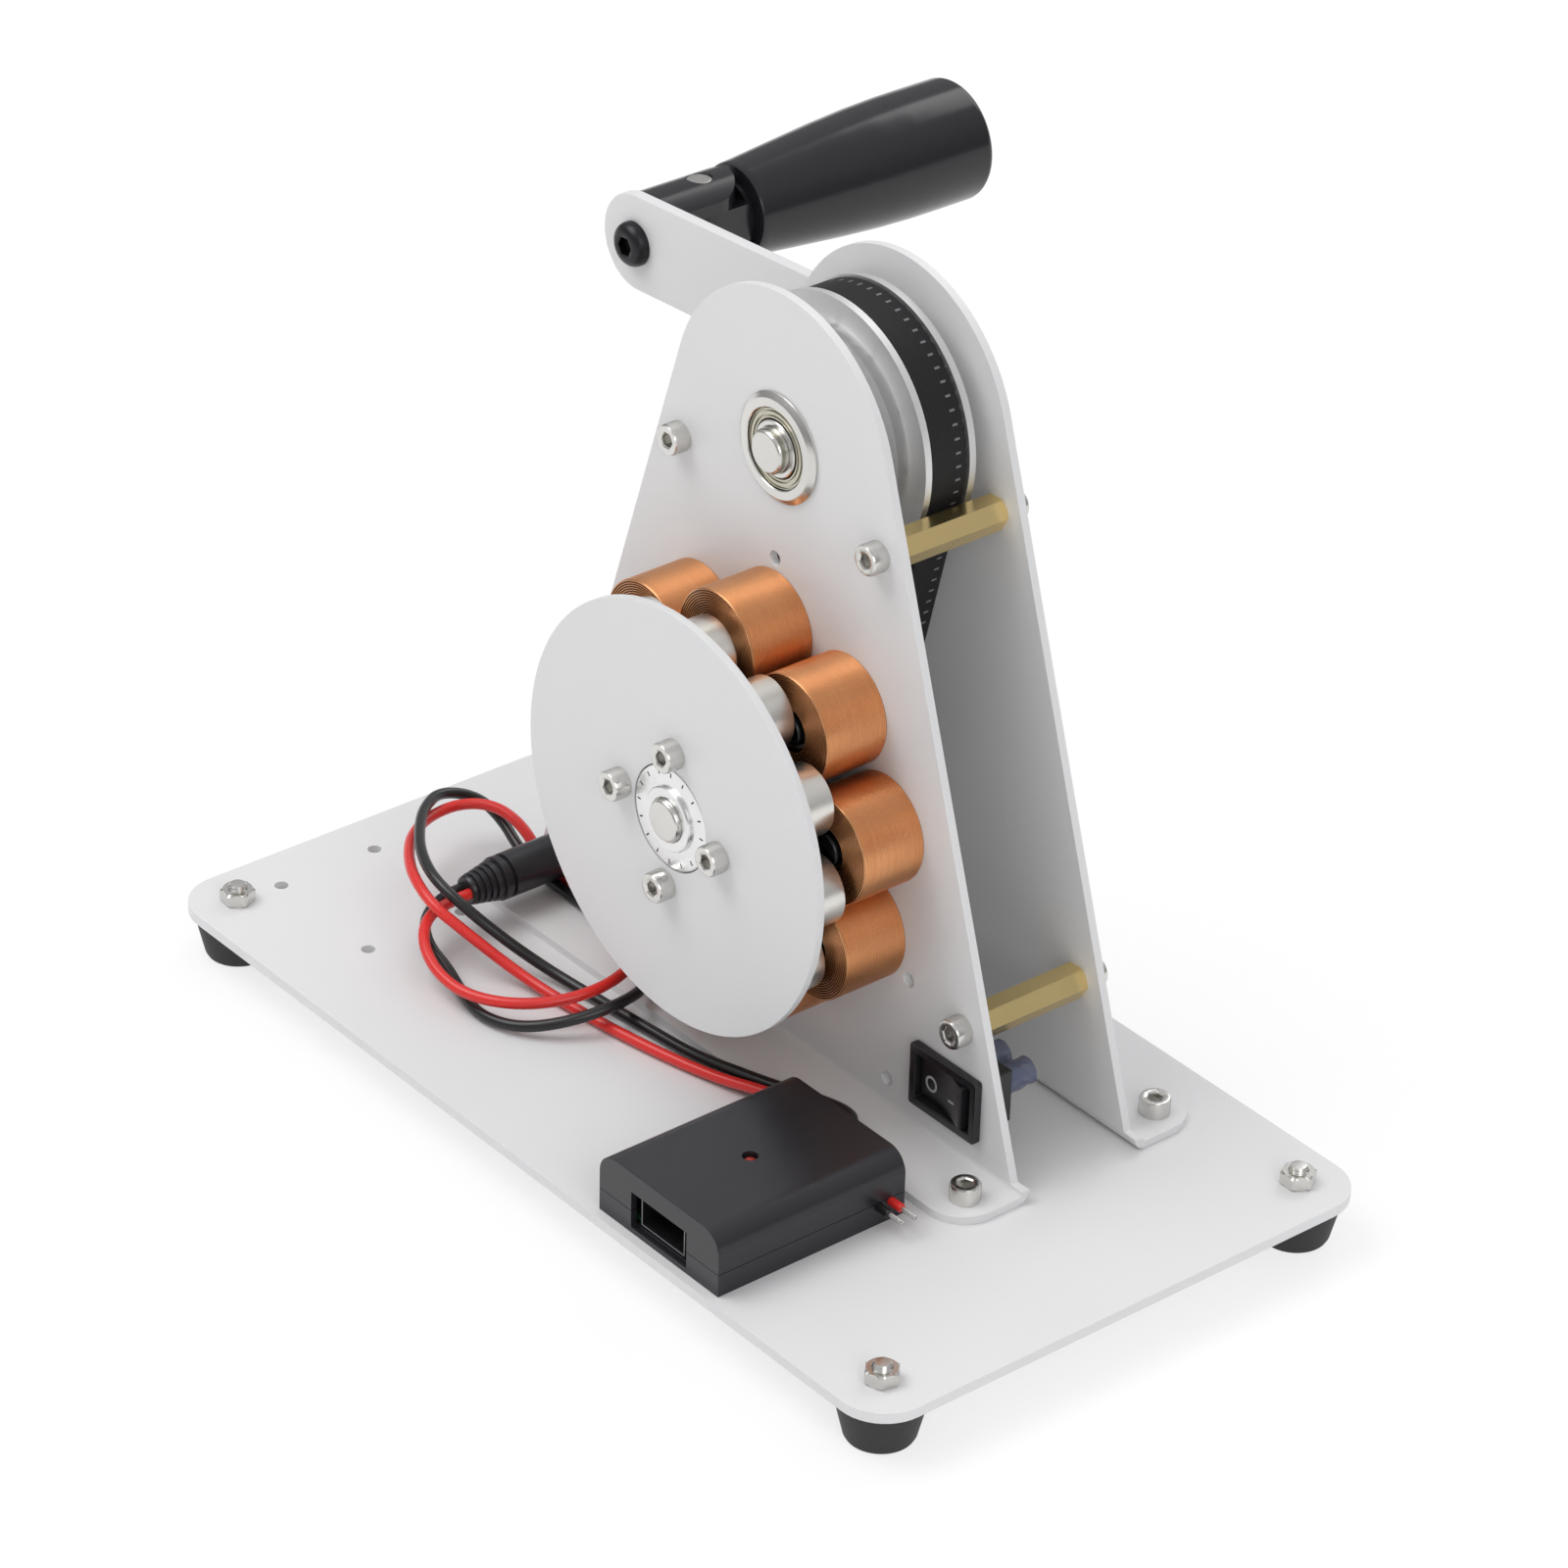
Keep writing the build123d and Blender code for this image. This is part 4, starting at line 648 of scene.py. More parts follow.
class GENERATOR_OT_stage(bpy.types.Operator):
    """Set up the floor, the lamps, the world and the camera"""

    bl_idname = "generator.stage"
    bl_label = "Stage"

    def execute(self, context):
        settings = context.scene.generator_stage
        self.camera(context, settings.lens)
        self.floor()
        self.world(context)
        for name, place, size, share in LAMPS:
            self.lamp(name, place, size, settings.key * share)
        context.scene.view_settings.view_transform = "Standard"
        return {"FINISHED"}

    def camera(self, context, lens):
        level = cos(CAMERA_ELEVATION)
        back = Vector((sin(CAMERA_AZIMUTH) * level, -cos(CAMERA_AZIMUTH) * level, sin(CAMERA_ELEVATION)))
        right = Vector((cos(CAMERA_AZIMUTH), sin(CAMERA_AZIMUTH), 0))
        up = back.cross(right)
        across = right * cos(CAMERA_ROLL) + up * sin(CAMERA_ROLL)
        upward = up * cos(CAMERA_ROLL) - right * sin(CAMERA_ROLL)
        data = bpy.data.cameras.new("camera")
        data.sensor_width = SENSOR_WIDTH
        data.lens = lens
        data.clip_end = 20
        camera = placed("camera", data)
        place = Matrix((across, upward, back)).transposed().to_4x4()
        place.translation = CAMERA_PLACE * MM
        camera.matrix_world = place
        context.scene.camera = camera

    def floor(self):
        mesh = bpy.data.meshes.new("floor")
        reach = 6.0
        sides = ((-reach, -reach), (reach, -reach), (reach, reach), (-reach, reach))
        corners = [(x, y, FLOOR * MM) for x, y in sides]
        mesh.from_pydata(corners, [], [(0, 1, 2, 3)])
        floor = placed("floor", mesh)
        material = bpy.data.materials.new("floor")
        material.use_nodes = True
        tree = material.node_tree
        tree.nodes.clear()
        path = wired(tree, "ShaderNodeLightPath").outputs
        rays = {0: path["Is Camera Ray"], 1: path["Is Glossy Ray"]}
        seen = wired(tree, "ShaderNodeMath", rays, operation="MAXIMUM")
        rays = {0: seen.outputs[0], 1: path["Is Transmission Ray"]}
        clear = wired(tree, "ShaderNodeMath", rays, operation="MAXIMUM")
        factors = {0: clear.outputs[0], 1: FLOOR_GLOW_SHARE}
        share = wired(tree, "ShaderNodeMath", factors, operation="MULTIPLY")
        matt = wired(tree, "ShaderNodeBsdfDiffuse", {"Color": (0.93, 0.93, 0.93, 1)})
        glow = wired(tree, "ShaderNodeEmission", {"Color": WHITE, "Strength": 1.04})
        shades = {0: share.outputs[0], 1: matt.outputs[0], 2: glow.outputs[0]}
        mix = wired(tree, "ShaderNodeMixShader", shades)
        wired(tree, "ShaderNodeOutputMaterial", {"Surface": mix.outputs[0]})
        mesh.materials.append(material)

    def world(self, context):
        world = bpy.data.worlds.new("studio")
        context.scene.world = world
        world.use_nodes = True
        tree = world.node_tree
        tree.nodes.clear()
        path = wired(tree, "ShaderNodeLightPath")
        where = wired(tree, "ShaderNodeTexCoord")
        split = wired(tree, "ShaderNodeSeparateXYZ", {0: where.outputs["Generated"]})
        ramp = wired(tree, "ShaderNodeValToRGB", {0: split.outputs["Z"]})
        for element, (position, colour) in zip(ramp.color_ramp.elements, WORLD_SHADES):
            element.position = position
            element.color = colour
        soft = wired(tree, "ShaderNodeBackground", {"Color": ramp.outputs[0], "Strength": 0.8})
        white = wired(tree, "ShaderNodeBackground", {"Color": WHITE, "Strength": 1.0})
        shades = {0: path.outputs["Is Camera Ray"], 1: soft.outputs[0], 2: white.outputs[0]}
        mix = wired(tree, "ShaderNodeMixShader", shades)
        wired(tree, "ShaderNodeOutputWorld", {"Surface": mix.outputs[0]})

    def lamp(self, name, place, size, power):
        data = bpy.data.lights.new(name, "AREA")
        data.size = size
        data.energy = power
        lamp = placed(name, data)
        lamp.location = place
        aim = Vector((0, 0, 0.07)) - Vector(place)
        lamp.rotation_euler = aim.to_track_quat("-Z", "Y").to_euler()


class GENERATOR_OT_plates(bpy.types.Operator):
    """Make the powder coated base and the two bent plates"""

    bl_idname = "generator.plates"
    bl_label = "Base and plates"

    def execute(self, context):
        softened("base_plate", "stand", "powder_white", 0.35)
        softened("front_plate", "stand", "powder_white", 0.3)
        softened("rear_plate", "stand", "powder_white", 0.3)
        return {"FINISHED"}


class GENERATOR_OT_feet(bpy.types.Operator):
    """Make the rubber feet with their screws and nuts"""

    bl_idname = "generator.feet"
    bl_label = "Feet"

    def execute(self, context):
        foot = turned(
            [(2.25, 0), (9.7, 0), (10.0, -0.3), (7.75, -9.9), (7.3, -10.7), (6.5, -11.0), (4.9, -11.0),
             (4.6, -10.7), (4.6, -6.5), (2.25, -6.5)], 64, loop=True
        )
        places = [(x, y, FOOT_TOP) for x, y in FOOT_PLACES]
        copies("rubber_feet", foot, places, "stand", "foot_rubber")
        seat = 6.5 - FOOT_TOP
        screw = turned(
            [(0, -2.5), (hexagonal(3.0), -1.3), (hexagonal(3.0), -2.4), (2.4, -2.6), (3.2, -2.5),
             (3.8, -1.9), (4.0, -1.0), (4.0, 0), (SCREW_RADIUS, 0), *threads(0.2, seat + 4.5),
             (0, seat + 4.6)]
        )
        places = [(x, y, -seat) for x, y in FOOT_PLACES]
        copies("foot_screws", screw, places, "stand", "zinc_steel")
        places = [(x, y, 0) for x, y in FOOT_PLACES]
        copies("foot_nuts", nut(), places, "stand", "zinc_steel", step=0.31)
        return {"FINISHED"}


class GENERATOR_OT_fasteners(bpy.types.Operator):
    """Make the screws, nuts and hexagonal standoffs that hold the plates"""

    bl_idname = "generator.fasteners"
    bl_label = "Fasteners"

    def execute(self, context):
        steel = "zinc_steel"
        places = [(x, y, PLATE) for x, y in FLANGE_PLACES]
        copies("plate_foot_screws", cap_screw(9.0), places, "stand", steel, step=0.4)
        places = [(x, y, FOOT_TOP - NUT_HEIGHT) for x, y in FLANGE_PLACES]
        copies("plate_foot_nuts", nut(), places, "stand", steel, step=0.27)
        screw = cap_screw(7.9)
        for name, y, turn in (("front", FRONT_FACE, TO_FRONT), ("rear", REAR_FACE, TO_BACK)):
            node = f"{name}_standoff_screws"
            places = [(x, y, z) for x, z in STANDOFF_PLACES]
            copies(node, screw.copy(), places, "stand", steel, turn, 0.35)
        side = hexagonal(NUT_FLATS)
        end = STANDOFF_LENGTH
        spacer = turned(
            [(2.05, 0.3), (2.3, 0), (3.3, 0), (side, 0.45), (side, end - 0.45), (3.3, end), (2.3, end),
             (2.05, end - 0.3)], loop=True
        )
        places = [(x, FRONT_FACE + PLATE, z) for x, z in STANDOFF_PLACES]
        copies("standoffs", spacer, places, "stand", "brass", TO_BACK)
        return {"FINISHED"}


class GENERATOR_OT_bearings(bpy.types.Operator):
    """Make the flanged ball bearings of both shafts"""

    bl_idname = "generator.bearings"
    bl_label = "Bearings"

    def execute(self, context):
        outer = turned(
            [(9.1, 0.2), (9.3, 0), (11.0, 0), (11.3, 0.1), (12.3, 0.75), (12.5, 0.95),
             (12.5, BEARING_FLANGE), (11, BEARING_FLANGE), (11, BEARING_WIDTH - 0.2),
             (10.8, BEARING_WIDTH), (9.1, BEARING_WIDTH)],
            96, loop=True
        )
        shield = turned(
            [(6.55, 1.0), (6.75, 0.45), (7.1, 0.45), (7.2, 0.9), (7.45, 0.9), (7.55, 0.45), (8.2, 0.45),
             (8.3, 0.9), (8.6, 0.9), (8.7, 0.5), (8.85, 0.5), (8.95, 1.3), (9.09, 1.3), (9.09, 5.5),
             (6.55, 5.5)], 96, loop=True
        )
        inner = turned(
            [(COLLAR_BORE, 0.3), (5.3, 0), (6.15, 0), (6.4, 0.25), (6.4, BEARING_WIDTH - 0.25),
             (6.15, BEARING_WIDTH), (5.3, BEARING_WIDTH), (COLLAR_BORE, BEARING_WIDTH - 0.3)], 96,
             loop=True
        )
        front = FRONT_FACE - BEARING_FLANGE
        rear = REAR_FACE + BEARING_FLANGE
        outers, shields = [], []
        races = ((CRANK_AXIS, "upper_inner_races", "crank"), (ROTOR_AXIS, "lower_inner_races", "rotor"))
        for axis, node, body in races:
            inners = []
            for turn in (moved(0, 0, front), moved(0, 0, rear) @ Matrix.Rotation(pi, 4, "X")):
                for source, kept in ((outer, outers), (shield, shields), (inner, inners)):
                    mesh = source.copy()
                    mesh.transform(axis @ turn)
                    kept.append(mesh)
            finished(node, joined(inners), body, "zinc_steel")
        finished("bearing_outer_races", joined(outers), "stand", "zinc_steel")
        finished("bearing_shields", joined(shields), "stand", "bearing_shield")
        return {"FINISHED"}


class GENERATOR_OT_coils(bpy.types.Operator):
    """Make the coils with their visible turns, cores, washers, screws and nuts"""

    bl_idname = "generator.coils"
    bl_label = "Coils"

    def execute(self, context):
        settings = context.scene.generator_coils
        winding = self.winding(settings.turns, settings.layers)
        places = coil_places(FRONT_FACE)
        copies("coil_windings", winding, places, "stand", "copper_wire", TO_FRONT, 0.7)
        core = ring(2.3, 4.9, 0, FRONT_FACE - CORE_FRONT, 0.3, 48)
        copies("coil_cores", core, places, "stand", "core_plastic", TO_FRONT)
        washer = ring(2.3, 4.6, 0, WASHER, 0.15, 48)
        places = coil_places(CORE_FRONT)
        copies("coil_washers", washer, places, "stand", "zinc_steel", TO_FRONT)
        screw = low_screw(3.8, 1.8, 2.5, 21.5, 17.0)
        places = coil_places(CORE_FRONT - WASHER)
        copies("coil_screws", screw, places, "stand", "black_screws", TO_FRONT, 0.5)
        places = coil_places(FRONT_FACE + PLATE)
        copies("coil_nuts", nut(), places, "stand", "zinc_steel", TO_BACK, 0.6)
        self.lead()
        return {"FINISHED"}

    def winding(self, turns, layers):
        """One winding: rings of wire on its side and face, with painted shade marked in the grooves between
        them.
        """
        height = FRONT_FACE - COIL_FRONT
        bore = 4.95
        pitch = (height - 0.3) / turns
        dip = pitch * 0.35
        # The third value of each ring is its share of painted shade: most in the grooves between layers on
        # the face, some between turns and at the winding's base and front edge.
        rings = [(bore, 0, 0.6), (COIL_RADIUS - dip, 0, 0.6)]
        for i in range(turns):
            low = 0.1 + pitch * i
            rings += [
                (COIL_RADIUS - dip, low, 0.35), (COIL_RADIUS, low + pitch * 0.3, 0.0),
                (COIL_RADIUS, low + pitch * 0.7, 0.0),
            ]
        rings.append((COIL_RADIUS - dip, 0.1 + pitch * turns, 0.5))
        step = (COIL_RADIUS - dip - bore) / layers
        for i in range(layers):
            out = COIL_RADIUS - dip - step * i
            rings += [
                (out - step * 0.2, height, 0.25), (out - step * 0.55, height, 0.25),
                (out - step * 0.72, height - 0.3, 1.0), (out - step, height - 0.3, 1.0),
            ]
        mesh = turned([ring[:2] for ring in rings], COIL_SIDES, loop=True)
        # Stores each ring's share of painted shade on its points.
        groove_shade = mesh.attributes.new("groove_shade", "FLOAT", "POINT")
        groove_shade.data.foreach_set("value", [ring[2] for ring in rings for _ in range(COIL_SIDES)])
        return mesh

    def lead(self):
        """Thin lead from the lowest coil to the base."""
        route = [(-4.0, -6.0, 13.2), (-4.4, -8.0, 9.5), (-5.0, -8.9, 6.0), (-7.5, -9.8, 2.6)]
        cord("coil_lead", route, LEAD_DIAMETER / 2, "wire_red", 12)


class GENERATOR_OT_rotor(bpy.types.Operator):
    """Make the rotor's disc, magnets, hub and shaft"""

    bl_idname = "generator.rotor"
    bl_label = "Rotor"

    def execute(self, context):
        disc = ring(12.35, 49.2, DISC_FRONT, DISC_BACK, 0.3, 160)
        finished("rotor_disc", disc, "rotor", "powder_white", ROTOR_AXIS)
        magnet = ring(0.001, 8.0, 0, 8.0, 0.35, 64)
        places = ring_places(MAGNET_COUNT, COIL_CIRCLE, 88, DISC_BACK)
        copies("magnets", magnet, places, "rotor", "magnet_nickel", TO_BACK)
        places = ring_places(4, 16.7, 86, DISC_FRONT)
        copies("disc_screws", cap_screw(6.6), places, "rotor", "zinc_steel", TO_FRONT, 0.45)
        hub = turned(
            [(5.05, -23.0), (5.25, -23.2), (7.2, -23.2), (7.5, -22.9), (7.5, -22.35), (11.6, -22.35),
             (12.0, -22.1), (12.0, DISC_BACK), (21.7, DISC_BACK), (22.0, -20.0), (22.0, -15.6),
             (21.7, -15.3), (10.5, -15.3), (10.5, -6.6), (10.2, -6.3), (5.05, -6.3)], 96, loop=True
        )
        finished("rotor_hub", hub, "rotor", "pulley_aluminium", ROTOR_AXIS, "hub_aluminium")
        places = [(x, DISC_FRONT - 0.05, z) for x, _, z in ring_places(HUB_MARKS, 10.6, 90, 0)]
        mark = brick(0.35, 1.1, 0.04)
        step = -2 * pi / HUB_MARKS
        copies("hub_marks", mark, places, "rotor", "pulley_aluminium", TO_FRONT, step, finish="black_screws")
        self.shaft("rotor_shaft", "rotor", ROTOR_AXIS, -24.5, 43.24)
        softened("rotor_set_screws", "rotor", "black_screws")
        return {"FINISHED"}

    def shaft(self, node, body, axis, low, high):
        rings = [
            (0, low), (4.2, low), (4.45, low + 0.1), (SHAFT_RADIUS, low + 0.8), (SHAFT_RADIUS, high - 0.8),
            (4.2, high), (0, high),
        ]
        finished(node, turned(rings, 96), body, "zinc_steel", axis)


class GENERATOR_OT_belt_drive(bpy.types.Operator):
    """Make both pulleys and the toothed belt"""

    bl_idname = "generator.belt_drive"
    bl_label = "Belt drive"

    def execute(self, context):
        softened("large_pulley", "crank", "pulley_aluminium")
        softened("small_pulley", "rotor", "pulley_aluminium")
        softened("drive_belt", "stand", "belt_rubber")
        places, turns = self.along_belt(BELT_TEETH, 28.8, BELT_BACK)
        mark = brick(0.5, 1.3, 0.06)
        copies("belt_ticks", mark, places, "stand", "belt_rubber", turns=turns, finish="mark_grey")
        return {"FINISHED"}

    def along_belt(self, count, y, lift):
        """Even places round the belt, lifted off its pitch line, with the turns that face outward."""
        centres = CRANK_Z - ROTOR_Z
        lean = asin((LARGE_PITCH - SMALL_PITCH) / centres)
        straight = centres * cos(lean)
        runs = (
            (CRANK_Z, LARGE_PITCH, -lean, LARGE_PITCH * (pi + 2 * lean), True),
            (CRANK_Z, LARGE_PITCH, pi + lean, straight, False),
            (ROTOR_Z, SMALL_PITCH, pi + lean, SMALL_PITCH * (pi - 2 * lean), True),
            (ROTOR_Z, SMALL_PITCH, -lean, straight, False),
        )
        step = sum(run[3] for run in runs) / count
        places, turns = [], []
        for i in range(count):
            way = step * (i + 0.5)
            for centre_z, radius, angle, length, bent in runs:
                if way < length:
                    break
                way -= length
            if bent:
                angle += way / radius
                way = 0
            reach = radius + lift
            x = SHAFT_X + reach * cos(angle) - way * sin(angle)
            places.append((x, y, centre_z + reach * sin(angle) + way * cos(angle)))
            turns.append(Matrix.Rotation(pi / 2 - angle, 4, "Y"))
        return places, turns


class GENERATOR_OT_crank(bpy.types.Operator):
    """Make the crank's shaft, collar, arm and screws"""

    bl_idname = "generator.crank"
    bl_label = "Crank"

    def execute(self, context):
        softened("crank_arm", "crank", "powder_white", 0.35)
        softened("crank_set_screws", "crank", "black_screws")
        collar = ring(COLLAR_BORE, 9.5, 41.14, ARM_FRONT, 0.4)
        finished("crank_hub", collar, "crank", "pulley_aluminium", CRANK_AXIS)
        low = 1.24
        shaft = turned(
            [(0, low), (4.2, low), (4.45, low + 0.1), (SHAFT_RADIUS, low + 0.8),
             (SHAFT_RADIUS, ARM_FRONT - 0.5), (4.5, ARM_FRONT), (3.0, ARM_FRONT), (3.0, 37.5), (0, 37.0)],
             96
        )
        finished("crank_shaft", shaft, "crank", "zinc_steel", CRANK_AXIS)
        washer = ring(3.2, 6.4, ARM_BACK, ARM_BACK + ARM_WASHER, 0.2)
        finished("arm_washer", washer, "crank", "zinc_steel", CRANK_AXIS)
        rear = self.button(15.8)
        rear.transform(moved(SHAFT_X, ARM_BACK + ARM_WASHER, CRANK_Z) @ TO_BACK)
        front = self.button(9.6)
        front.transform(ARM_END @ moved(0, ARM_FRONT, 0) @ TO_FRONT)
        finished("arm_screws", joined([rear, front]), "crank", "black_screws")
        return {"FINISHED"}

    def button(self, length):
        """Domed screw with a hexagonal socket, its seat at height 0."""
        dome = [(5.25 - 2.3 * (1 - cos(radians(a))), 1.0 + 2.3 * sin(radians(a))) for a in range(0, 91, 15)]
        return turned(
            [(0, -length), (3.0, -length), (3.0, 0), (5.1, 0), (5.25, 0.2), *dome, (2.6, 3.3),
             (hexagonal(4.1), 3.1), (hexagonal(4.0), 1.5), (0, 1.2)]
        )


class GENERATOR_OT_handle(bpy.types.Operator):
    """Make the folding handle: fork, pin, knuckle and grip"""

    bl_idname = "generator.handle"
    bl_label = "Handle"

    def execute(self, context):
        softened("handle_fork", "crank", "grip_plastic", 0.5)
        softened("hinge_pin", "crank", "zinc_steel", 0.25)
        softened("handle_spindle", "handle", "grip_plastic", 0.3)
        low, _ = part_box("grip")
        start = low[1] / MM
        end = start + 65.5
        profile = [
            (5.55, start + 54.9), (5.55, start + 0.2), (5.8, start), (10.4, start), (10.9, start + 0.25),
            (11.15, start + 0.9), (11.2, start + 2.0),
        ]
        swell = [
            (11.2, 2.0), (11.75, 8.0), (12.6, 17.0), (13.5, 27.0), (14.2, 37.0), (14.55, 46.0), (14.6, 52.0),
        ]
        for (r1, y1), (r2, y2) in zip(swell, swell[1:]):
            profile += [(r1 + (r2 - r1) * t, start + y1 + (y2 - y1) * t) for t in (0.25, 0.5, 0.75, 1.0)]
        profile += [(14.6, end - 1.6), (14.45, end - 0.9), (14.1, end - 0.35), (13.5, end - 0.05)]
        profile += [(12.8, end), (0, end)]
        grip = turned([(0, start + 54.9), *profile], 128)
        finished("grip", grip, "grip", "grip_plastic", ARM_END @ TO_BACK)
        return {"FINISHED"}


class GENERATOR_OT_switch(bpy.types.Operator):
    """Make the rocker switch with its marks, terminals and sleeves"""

    bl_idname = "generator.switch"
    bl_label = "Switch"

    def execute(self, context):
        softened("switch_body", "stand", "switch_plastic", 0.35)
        softened("rocker", "rocker", "switch_plastic", 0.35, segments=3)
        softened("switch_terminals", "stand", "brass", 0.1)
        sleeve = turned(
            [(2.9, 0), (3.2, 0), (3.4, 0.3), (3.3, 3.0), (3.4, 5.0), (3.0, 7.2), (3.2, 8.8), (2.9, 9.0),
             (2.6, 6.9)],
            32, loop=True
        )
        low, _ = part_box("terminal_sleeves")
        places = [(SWITCH_X + side * 4.0, low[1] / MM, SWITCH_Z) for side in (-1, 1)]
        copies("terminal_sleeves", sleeve, places, "stand", "sleeve_clear", TO_BACK)
        self.marks()
        return {"FINISHED"}

    def marks(self):
        """The open circle and the stroke on the rocker's two halves, laid on its face."""
        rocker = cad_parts["rocker"].data
        face = BVHTree.FromPolygons([v.co for v in rocker.vertices], [p.vertices for p in rocker.polygons])
        circle = turned([(1.35, 0), (1.9, 0), (1.9, 0.12), (1.35, 0.12)], 40, loop=True)
        stroke = brick(3.0, 0.55, 0.12)
        laid = []
        for mesh, x in ((circle, SWITCH_X - 5.1), (stroke, SWITCH_X + 2.7)):
            start = Vector((x, -20.0, SWITCH_Z - 1.0)) * MM
            spot, normal, _, _ = face.ray_cast(start, Vector((0, 1, 0)))
            if spot is None:
                raise RuntimeError("no rocker face behind a mark")
            turn = Vector((0, 0, 1)).rotation_difference(normal).to_matrix().to_4x4()
            mesh.transform(Matrix.Translation(spot) @ turn)
            laid.append(mesh)
        finished("rocker_marks", joined(laid), "rocker", "switch_plastic", finish="mark_white")


class GENERATOR_OT_outlet_box(bpy.types.Operator):
    """Make the outlet box with its socket, lamp and cut wires"""

    bl_idname = "generator.outlet_box"
    bl_label = "Outlet box"

    def execute(self, context):
        softened("usb_case_top", "stand", "case_plastic", 0.3)
        softened("usb_case_bottom", "stand", "case_plastic", 0.25)
        # The shell takes the darkened steel: painted shade for the inside of the socket.
        softened("usb_shell", "stand", "zinc_steel", 0.1, "socket_steel")
        softened("usb_tongue", "stand", "tongue_plastic", 0.1)
        softened("usb_board", "stand", "board_green")
        lamp = turned([(0, 2.4), (1.5, 2.4), (1.5, 13.0), (1.3, 13.8), (0.8, 14.15), (0, 14.2)], 32)
        finished("status_led", lamp, "stand", "lamp_plastic", moved(*STATUS_LAMP_PLACE))
        self.contacts()
        to_side = Matrix.Rotation(pi / 2, 4, "Y")
        end = CUT_WIRE_LENGTH
        strands = []
        for colour, y in CUT_WIRES.items():
            wire = turned([(0, 0), (0.9, 0), (1.0, 0.1), (1.0, end - 0.3), (0.85, end), (0, end)], 24)
            place = moved(BOX_SIDE_X, y, CUT_WIRE_Z) @ to_side
            finished(f"cut_wire_{colour}", wire, "stand", f"wire_{colour}", place)
            for i in range(7):
                angle = 2 * pi * i / 6
                out = 0.36 if i else 0.0
                strand = turned([(0, 0), (0.18, 0), (0.18, 4.2 + 0.05 * i), (0, 4.3 + 0.05 * i)], 8)
                across, up = out * cos(angle), out * sin(angle)
                strand.transform(moved(BOX_SIDE_X + end, y + across, CUT_WIRE_Z + up) @ to_side)
                strands.append(strand)
        finished("tinned_wire_ends", joined(strands), "stand", "tinned_wire")
        return {"FINISHED"}

    def contacts(self):
        """Four gilt contacts under the socket's tongue."""
        low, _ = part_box("usb_tongue")
        places = [(SOCKET_X + 2.5 * i, low[1] / MM + 3.6, 5.96) for i in (-1.5, -0.5, 0.5, 1.5)]
        copies("socket_contacts", brick(1.0, 6.0, 0.12), places, "stand", "brass")


class GENERATOR_OT_jack(bpy.types.Operator):
    """Make the panel jack, its nut and the barrel plug"""

    bl_idname = "generator.jack"
    bl_label = "Jack and plug"

    def execute(self, context):
        low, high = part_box("barrel_plug")
        centre = (low[0] + high[0]) / 2 / MM
        middle = (low[2] + high[2]) / 2 / MM
        tail = low[1] / MM
        face = FRONT_FACE - 2.3
        shoulder = face - 18.8
        axis = axis_y(centre, middle)
        rings = [(0, tail), (3.1, tail), (3.4, tail + 0.3)]
        for i in range(4):
            y = tail + 0.9 + 1.55 * i
            r = 3.55 + 0.28 * i
            rings += [(r, y), (r - 0.35, y + 0.1), (r - 0.35, y + 0.6), (r + 0.15, y + 0.7)]
        neck = [
            (4.8, -1.0), (4.4, -0.9), (4.4, -0.1), (5.0, 0), (5.2, 0.2), (5.2, 1.7), (4.5, 1.8), (4.5, 2.6),
            (5.2, 2.7),
        ]
        rings += [(r, shoulder + y) for r, y in neck]
        rings += [(5.2, face - 0.4), (4.8, face), (2.75, face), (2.75, face + 9.0), (0, face + 9.0)]
        finished("barrel_plug", turned(rings, 72), "stand", "case_plastic", axis)
        collar = nut(10.0, 2.0, 4.05)
        place = moved(centre, FRONT_FACE, middle) @ TO_FRONT
        finished("panel_jack_nut", collar, "stand", "case_plastic", place)
        softened("panel_jack", "stand", "case_plastic")
        return {"FINISHED"}


BLACK_ROUTE = [
    (46.9, -16.3, 5.6), (46.9, -11.3, 5.6), (43.3, -6.4, 5.2), (34.6, -6.8, 4.2), (23.0, -11.4, 3.9),
    (12.0, -14.4, 3.3), (0.5, -15.8, 1.6), (-11.0, -17.2, 1.6), (-22.5, -18.3, 1.6), (-35.0, -19.6, 1.6),
    (-45.5, -22.3, 3.4), (-54.0, -27.2, 8.4), (-61.5, -32.0, 14.4), (-71.5, -33.4, 17.6),
    (-82.0, -29.4, 18.0), (-91.5, -22.8, 17.2), (-99.4, -15.6, 16.2), (-105.0, -7.0, 14.6),
    (-102.2, 1.6, 11.6), (-94.6, 3.0, 8.4), (-86.6, 1.5, 5.4), (-77.5, 0.7, 3.55), (-67.0, 0.4, 3.55),
    (-54.0, 0.1, 3.6), (-41.0, -0.8, 3.55), (-29.5, -4.6, 3.9), (-22.0, -12.6, 5.8), (-19.6, -22.6, 6.6),
    (-23.4, -32.6, 4.4), (-30.6, -40.6, 2.2), (-40.6, -43.8, 1.6), (-50.4, -41.4, 1.7),
    (-59.2, -38.8, 2.6), (-66.4, -38.6, 4.6), (-71.8, -36.2, 7.4), (-73.8, -30.06, 10.5),
    (-73.8, -24.06, 10.5),
]
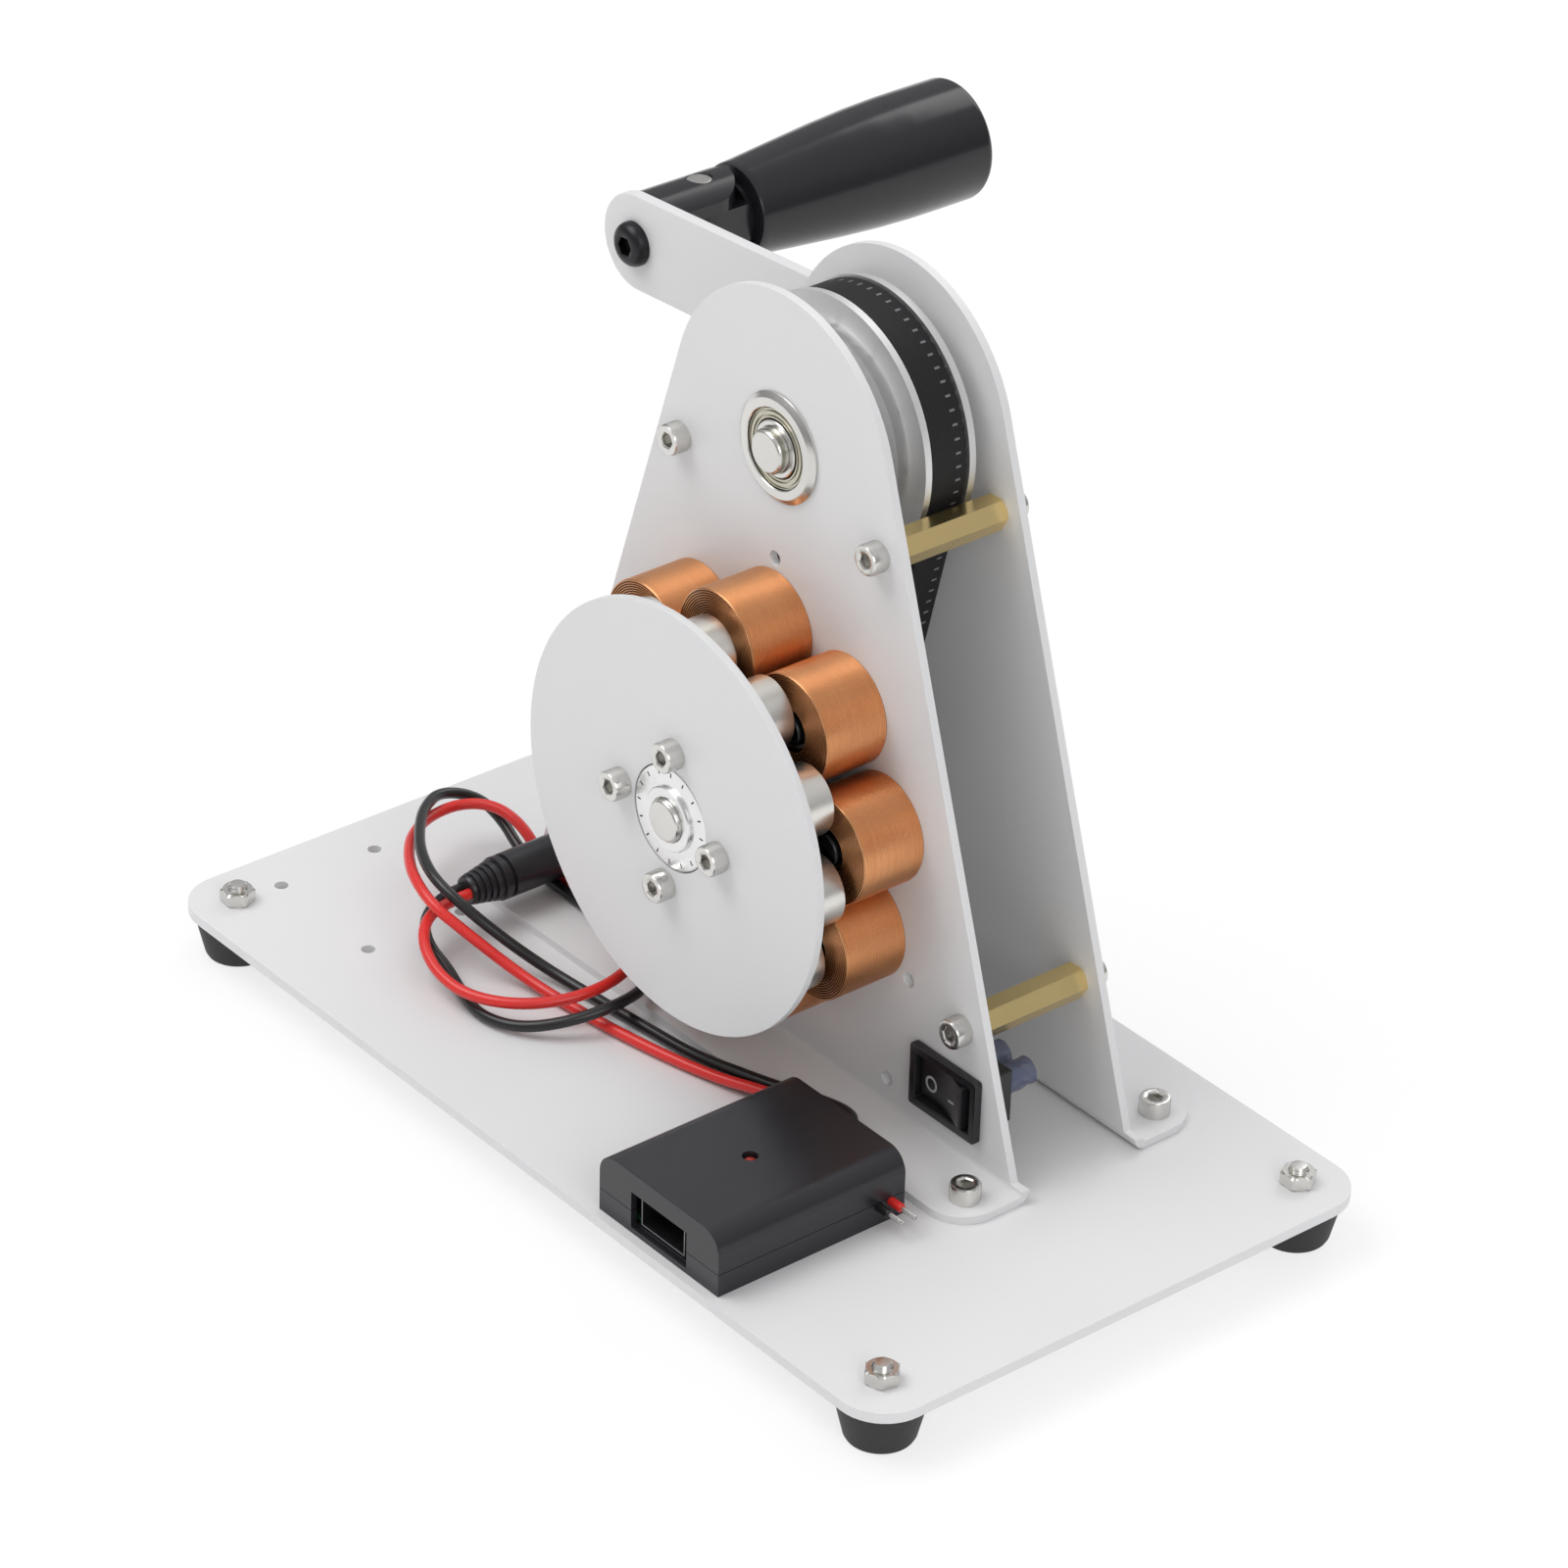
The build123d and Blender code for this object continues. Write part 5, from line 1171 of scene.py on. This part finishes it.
RED_ROUTE = [
    (43.9, -16.3, 5.6), (43.9, -12.3, 5.6), (39.8, -10.4, 4.9), (31.0, -12.0, 3.9), (21.5, -14.7, 3.5),
    (11.5, -17.4, 2.0), (0.0, -20.2, 1.6), (-13.5, -23.0, 1.6), (-27.0, -25.0, 1.6), (-40.0, -26.6, 1.8),
    (-50.0, -29.4, 4.6), (-58.0, -33.8, 10.0), (-66.5, -37.4, 14.6), (-77.0, -35.0, 16.0),
    (-87.0, -29.2, 15.0), (-95.6, -21.8, 13.2), (-101.0, -12.8, 12.2), (-100.6, -4.4, 12.6),
    (-95.0, 1.0, 12.9), (-87.6, 3.2, 10.6), (-80.4, 3.7, 4.6), (-73.8, 3.7, 3.55), (-60.5, 3.2, 3.8),
    (-49.0, 2.0, 5.9), (-38.5, -1.4, 7.2), (-30.0, -8.6, 7.4), (-26.6, -18.8, 7.0), (-28.4, -29.6, 6.2),
    (-34.6, -38.6, 5.4), (-44.4, -44.6, 5.2), (-54.4, -45.4, 6.4), (-63.4, -42.6, 8.6),
    (-69.0, -37.2, 10.2), (-70.8, -30.06, 10.5), (-70.8, -24.06, 10.5),
]


class GENERATOR_OT_cables(bpy.types.Operator):
    """Make the two wires between the outlet box and the plug"""

    bl_idname = "generator.cables"
    bl_label = "Cables"

    def execute(self, context):
        self.wire("cable_black", BLACK_ROUTE, "wire_black", 0.3586)
        self.wire("cable_red", RED_ROUTE, "wire_red", 0.3355)
        return {"FINISHED"}

    def wire(self, node, route, slot, length):
        piece = cord(node, route, WIRE_DIAMETER / 2, slot, 8)
        [c * MM for c in route[0]]


class GENERATOR_PT_panel(bpy.types.Panel):
    """Lists the generator's pieces in the sidebar"""

    bl_idname = "GENERATOR_PT_panel"
    bl_label = "Hand crank generator"
    bl_space_type = "VIEW_3D"
    bl_region_type = "UI"
    bl_category = "Generator"

    def draw(self, context):
        for name, group in GROUPS.items():
            for setting in group.__annotations__:
                self.layout.prop(getattr(context.scene, name), setting)
        for operator in OPERATORS:
            self.layout.operator(operator.bl_idname)


GROUPS = {
    "generator_finishes": GENERATOR_PG_finishes,
    "generator_coils": GENERATOR_PG_coils,
    "generator_stage": GENERATOR_PG_stage,
}
OPERATORS = (
    GENERATOR_OT_stage, GENERATOR_OT_finishes, GENERATOR_OT_cables, GENERATOR_OT_plates,
    GENERATOR_OT_feet, GENERATOR_OT_fasteners, GENERATOR_OT_bearings, GENERATOR_OT_coils,
    GENERATOR_OT_rotor, GENERATOR_OT_belt_drive, GENERATOR_OT_crank, GENERATOR_OT_handle,
    GENERATOR_OT_switch, GENERATOR_OT_outlet_box, GENERATOR_OT_jack,
)


def register():
    for made in (*GROUPS.values(), *OPERATORS, GENERATOR_PT_panel):
        bpy.utils.register_class(made)
    for name, group in GROUPS.items():
        setattr(bpy.types.Scene, name, bpy.props.PointerProperty(type=group))


def unregister():
    for name in GROUPS:
        delattr(bpy.types.Scene, name)
    for made in reversed((*GROUPS.values(), *OPERATORS, GENERATOR_PT_panel)):
        bpy.utils.unregister_class(made)


def main():
    register()
    for operator in OPERATORS:
        group, name = operator.bl_idname.split(".")
        getattr(getattr(bpy.ops, group), name)()


if __name__ == "__main__":
    main()
